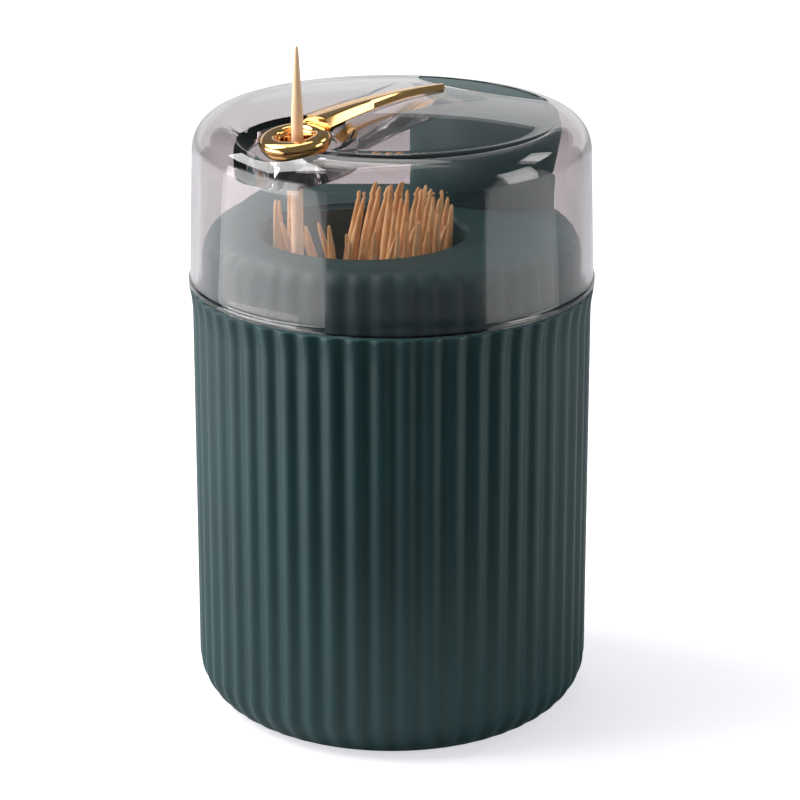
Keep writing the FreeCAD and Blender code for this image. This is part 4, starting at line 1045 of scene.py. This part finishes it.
# %% Where each toothpick stands
PICK_PITCH = 2.3
PICK_GAP = 0.2
LAYER_TURN = math.radians(41.0)
SUPPLY_REACH = WELL_RADIUS - PICK_RADIUS - PICK_GAP
FLOOR_FRONT, FLOOR_BACK = 28.5, 33.0
LENGTH_SHARE, LENGTH_BY_DEPTH, LENGTH_UNEVEN = 0.925, 0.015, 0.009
LAYER_SHARES = [
    # layer, foot of the first and last toothpick, tip of the first and last, how many
    (6, -0.46, -0.15, 0.16, 0.46, 3), (5, -0.65, -0.10, 0.00, 0.65, 4),
    (4, -0.78, -0.19, 0.06, 0.79, 4), (3, -0.66, -0.66, -0.82, -0.82, 1),
    (3, -0.02, 0.47, 0.31, 0.88, 4), (2, -0.77, -0.62, -0.93, -0.77, 2),
    (2, 0.03, 0.41, 0.44, 0.85, 3), (1, -0.80, -0.63, -0.96, -0.79, 2),
    (1, 0.05, 0.50, 0.50, 0.93, 3), (0, -0.65, -0.65, -0.80, -0.80, 1),
    (0, 0.02, 0.60, 0.36, 0.97, 4), (-1, -0.84, -0.31, 0.47, 0.97, 4),
    (-2, 0.25, 0.63, -0.94, -0.57, 3), (-3, 0.13, 0.31, -0.85, -0.68, 2),
    (-3, 0.50, 0.66, 0.60, 0.79, 2), (-4, -0.06, 0.13, -0.38, -0.21, 2),
    (-4, 0.31, 0.50, 0.47, 0.69, 2), (-5, -0.19, 0.38, -0.33, 0.58, 3),
    (-6, -0.19, 0.19, -0.13, 0.38, 2),
]


def supply_feet():
    """Mesh of one vertex for each toothpick's foot, with its way as an attribute."""
    along = Vector((math.cos(LAYER_TURN), math.sin(LAYER_TURN), 0))
    across = Vector((-along.y, along.x, 0))
    feet, ways = [], []
    for layer, foot_first, foot_last, tip_first, tip_last, count in LAYER_SHARES:
        for number in range(count):
            share = number / max(count - 1, 1)
            start = SUPPLY_REACH * (foot_first + (foot_last - foot_first) * share)
            lean = SUPPLY_REACH * (tip_first + (tip_last - tip_first) * share) - start
            foot = across * layer * PICK_PITCH + along * start
            back_share = (foot.y + WELL_RADIUS) / (2 * WELL_RADIUS)
            foot.z = part_way((FLOOR_FRONT, FLOOR_BACK), back_share) + PICK_GAP
            foot.y += WELL_Y
            way = along * lean + Vector((0, 0, math.sqrt(PICK_LENGTH ** 2 - lean ** 2)))
            uneven = (7 * number + 3 * layer) % 5 - 2
            farther = (foot + way).to_2d().dot(-TO_CAMERA) / WELL_RADIUS
            length = LENGTH_SHARE + LENGTH_BY_DEPTH * farther + LENGTH_UNEVEN * uneven
            feet.append(foot * MM)
            ways.append(way.normalized() * length)
    mesh = bpy.data.meshes.new("supply")
    mesh.from_pydata(feet, [], [])
    layer = mesh.attributes.new("way", "FLOAT_VECTOR", "POINT")
    layer.data.foreach_set("vector", [value for way in ways for value in way])
    return mesh


supply = new_piece("supply", supply_feet())
blank = new_piece("toothpick", pick_mesh("toothpick", 12))
# The supply takes the copy of birch whose darker deep colour is painted shade.
run_tree(supply, SUPPLY_TREE, {"Toothpick": blank, "Thickness": 0.99, "Seed": 7,
                               "Material": BIRCH_SHADED})
bpy.data.objects.remove(blank)
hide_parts("toothpick_supply")
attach(supply, "housing")
print("Supply:", len(supply.data.polygons), "faces")

# %% The raised toothpick
RAISED_FOOT = 55.6
raised = new_piece("raised_pick", pick_mesh("raised_pick", 32), BIRCH)
raised.data.transform(Matrix.Translation(Vector((0, RING_Y, RAISED_FOOT)) * MM))
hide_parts("raised_toothpick")
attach(raised, "pick")
print("Raised toothpick:", len(raised.data.polygons), "faces")

# %% [markdown]
# ## Floor, backdrop and light
# The product stands on white paper: a large plane that looks white to the camera and keeps a soft
# shadow. Two dark cards before the object and soft panels round it, none seen by the camera,
# shape the reflections and the bands of light.

# %% Floor
def white_paper():
    """Light paper that glows white straight to the camera or through the lid, less its shadow."""
    material, graph = new_material("white_paper")
    fibre = object_noise(graph, 900, 3)
    shade = mixed(graph, fibre, colour(196, 196, 199), colour(202, 202, 204))
    paper = graph.node("ShaderNodeBsdfPrincipled", {}, {
        "Base Color": shade, "Roughness": 0.9, "Specular IOR Level": 0.1,
        "Normal": bump(graph, fibre, 0.02, 0.02 * MM)})
    glow = graph.node("ShaderNodeEmission", {}, {"Color": (0.97, 0.96, 1, 1), "Strength": 0.6})
    bright = graph.node("ShaderNodeAddShader", {}, {0: paper, 1: glow})
    whole = graph.node("ShaderNodeMixShader", {}, {0: seen_directly(graph), 1: paper, 2: bright})
    graph.node("ShaderNodeOutputMaterial", {}, {"Surface": whole}, output=None)
    return material


FLOOR_REACH = 3.0
corners = [(x * FLOOR_REACH, y * FLOOR_REACH, 0) for x, y in ((-1, -1), (1, -1), (1, 1), (-1, 1))]
floor_mesh = bpy.data.meshes.new("floor")
floor_mesh.from_pydata(corners, [], [(0, 1, 2, 3)])
floor = new_piece("floor", floor_mesh, white_paper())
print("Floor is", 2 * FLOOR_REACH, "m wide")

# %% Dark cards
def dark_card(near, far, left, right, steps=24):
    """Flat sector in front of the object, which only reflections and bounced light meet."""
    start = math.atan2(TO_CAMERA.y, TO_CAMERA.x) - math.radians(left)
    sweep = math.radians(left + right)
    points = []
    for step in range(steps + 1):
        turn = start + sweep * step / steps
        points += [(near * math.cos(turn), near * math.sin(turn), MM),
                   (far * math.cos(turn), far * math.sin(turn), MM)]
    mesh = bpy.data.meshes.new("dark_card")
    mesh.from_pydata(points, [], [(2 * k, 2 * k + 1, 2 * k + 3, 2 * k + 2) for k in range(steps)])
    material, graph = new_material("dark_card")
    felt = object_noise(graph, 300, 3)
    finish(graph, {"Base Color": mixed(graph, felt, colour(26, 34, 36), colour(36, 44, 46)),
                   "Roughness": 0.9, "Specular IOR Level": 0.1})
    card = new_piece("dark_card", mesh, material)
    card.visible_camera = False
    card.visible_shadow = False
    card.visible_transmission = False


dark_card(0.095, 1.5, 35, 52)
dark_card(0.095, 0.22, 62, -35)
print("Two dark cards lie before the object")

# %% Lights
def panel(name, azimuth, elevation, distance, width, height, power, aim_height):
    """Soft panel; azimuth is measured from the camera's side, leftwards in the picture."""
    lamp = bpy.data.lights.new(name, "AREA")
    lamp.shape = "RECTANGLE"
    lamp.size, lamp.size_y = width, height
    lamp.energy = power
    lamp_object = bpy.data.objects.new(name, lamp)
    turn = math.atan2(TO_CAMERA.y, TO_CAMERA.x) - math.radians(azimuth)
    rise = math.radians(elevation)
    away = Vector((math.cos(turn) * math.cos(rise), math.sin(turn) * math.cos(rise),
                   math.sin(rise)))
    lamp_object.location = Vector((0, 0, aim_height)) + away * distance
    lamp_object.rotation_euler = away.to_track_quat("Z", "Y").to_euler()
    lamp_object.visible_camera = False
    bpy.context.scene.collection.objects.link(lamp_object)


PANELS = [
    # name, azimuth, elevation, distance, width, height, power, aim height
    ("key_left", 95, 46, 1.0, 0.7, 0.7, 14, 0.06),
    ("side_left", 78, 4, 0.62, 0.6, 0.30, 2.2, 0.02),
    ("low_left", 72, -45, 0.481, 0.36, 0.30, 0.5, 0.45),
    ("low_right", -76, -45, 0.481, 0.24, 0.30, 0.15, 0.45),
    ("gold_right", -110, 36, 0.8, 0.24, 0.20, 0.6, 0.1),
    ("fill_right", -78, 15, 0.9, 0.35, 0.5, 2.1, 0.06),
    ("top", 140, 70, 1.2, 0.9, 0.9, 6, 0.06),
    ("back", 180, 12, 1.4, 2.6, 0.62, 3.8, 0.0),
]
for row in PANELS:
    panel(*row)
print(len(PANELS), "panels light the scene")

# %% World
def white_world():
    """White straight to the camera or through the lid, and a dim cool fill for the rest."""
    world = bpy.data.worlds.new("white_room")
    world.use_nodes = True
    graph = Graph(world.node_tree)
    seen = graph.node("ShaderNodeBackground", {}, {"Color": (1, 1, 1, 1), "Strength": 1.0})
    fill = graph.node("ShaderNodeBackground", {}, {"Color": (0.82, 0.95, 1, 1), "Strength": 0.2})
    blend = graph.node("ShaderNodeMixShader", {}, {0: seen_directly(graph), 1: fill, 2: seen})
    graph.node("ShaderNodeOutputWorld", {}, {"Surface": blend}, output=None)
    return world


bpy.context.scene.world = white_world()
bpy.context.scene.view_settings.view_transform = "Standard"
print("World is set")
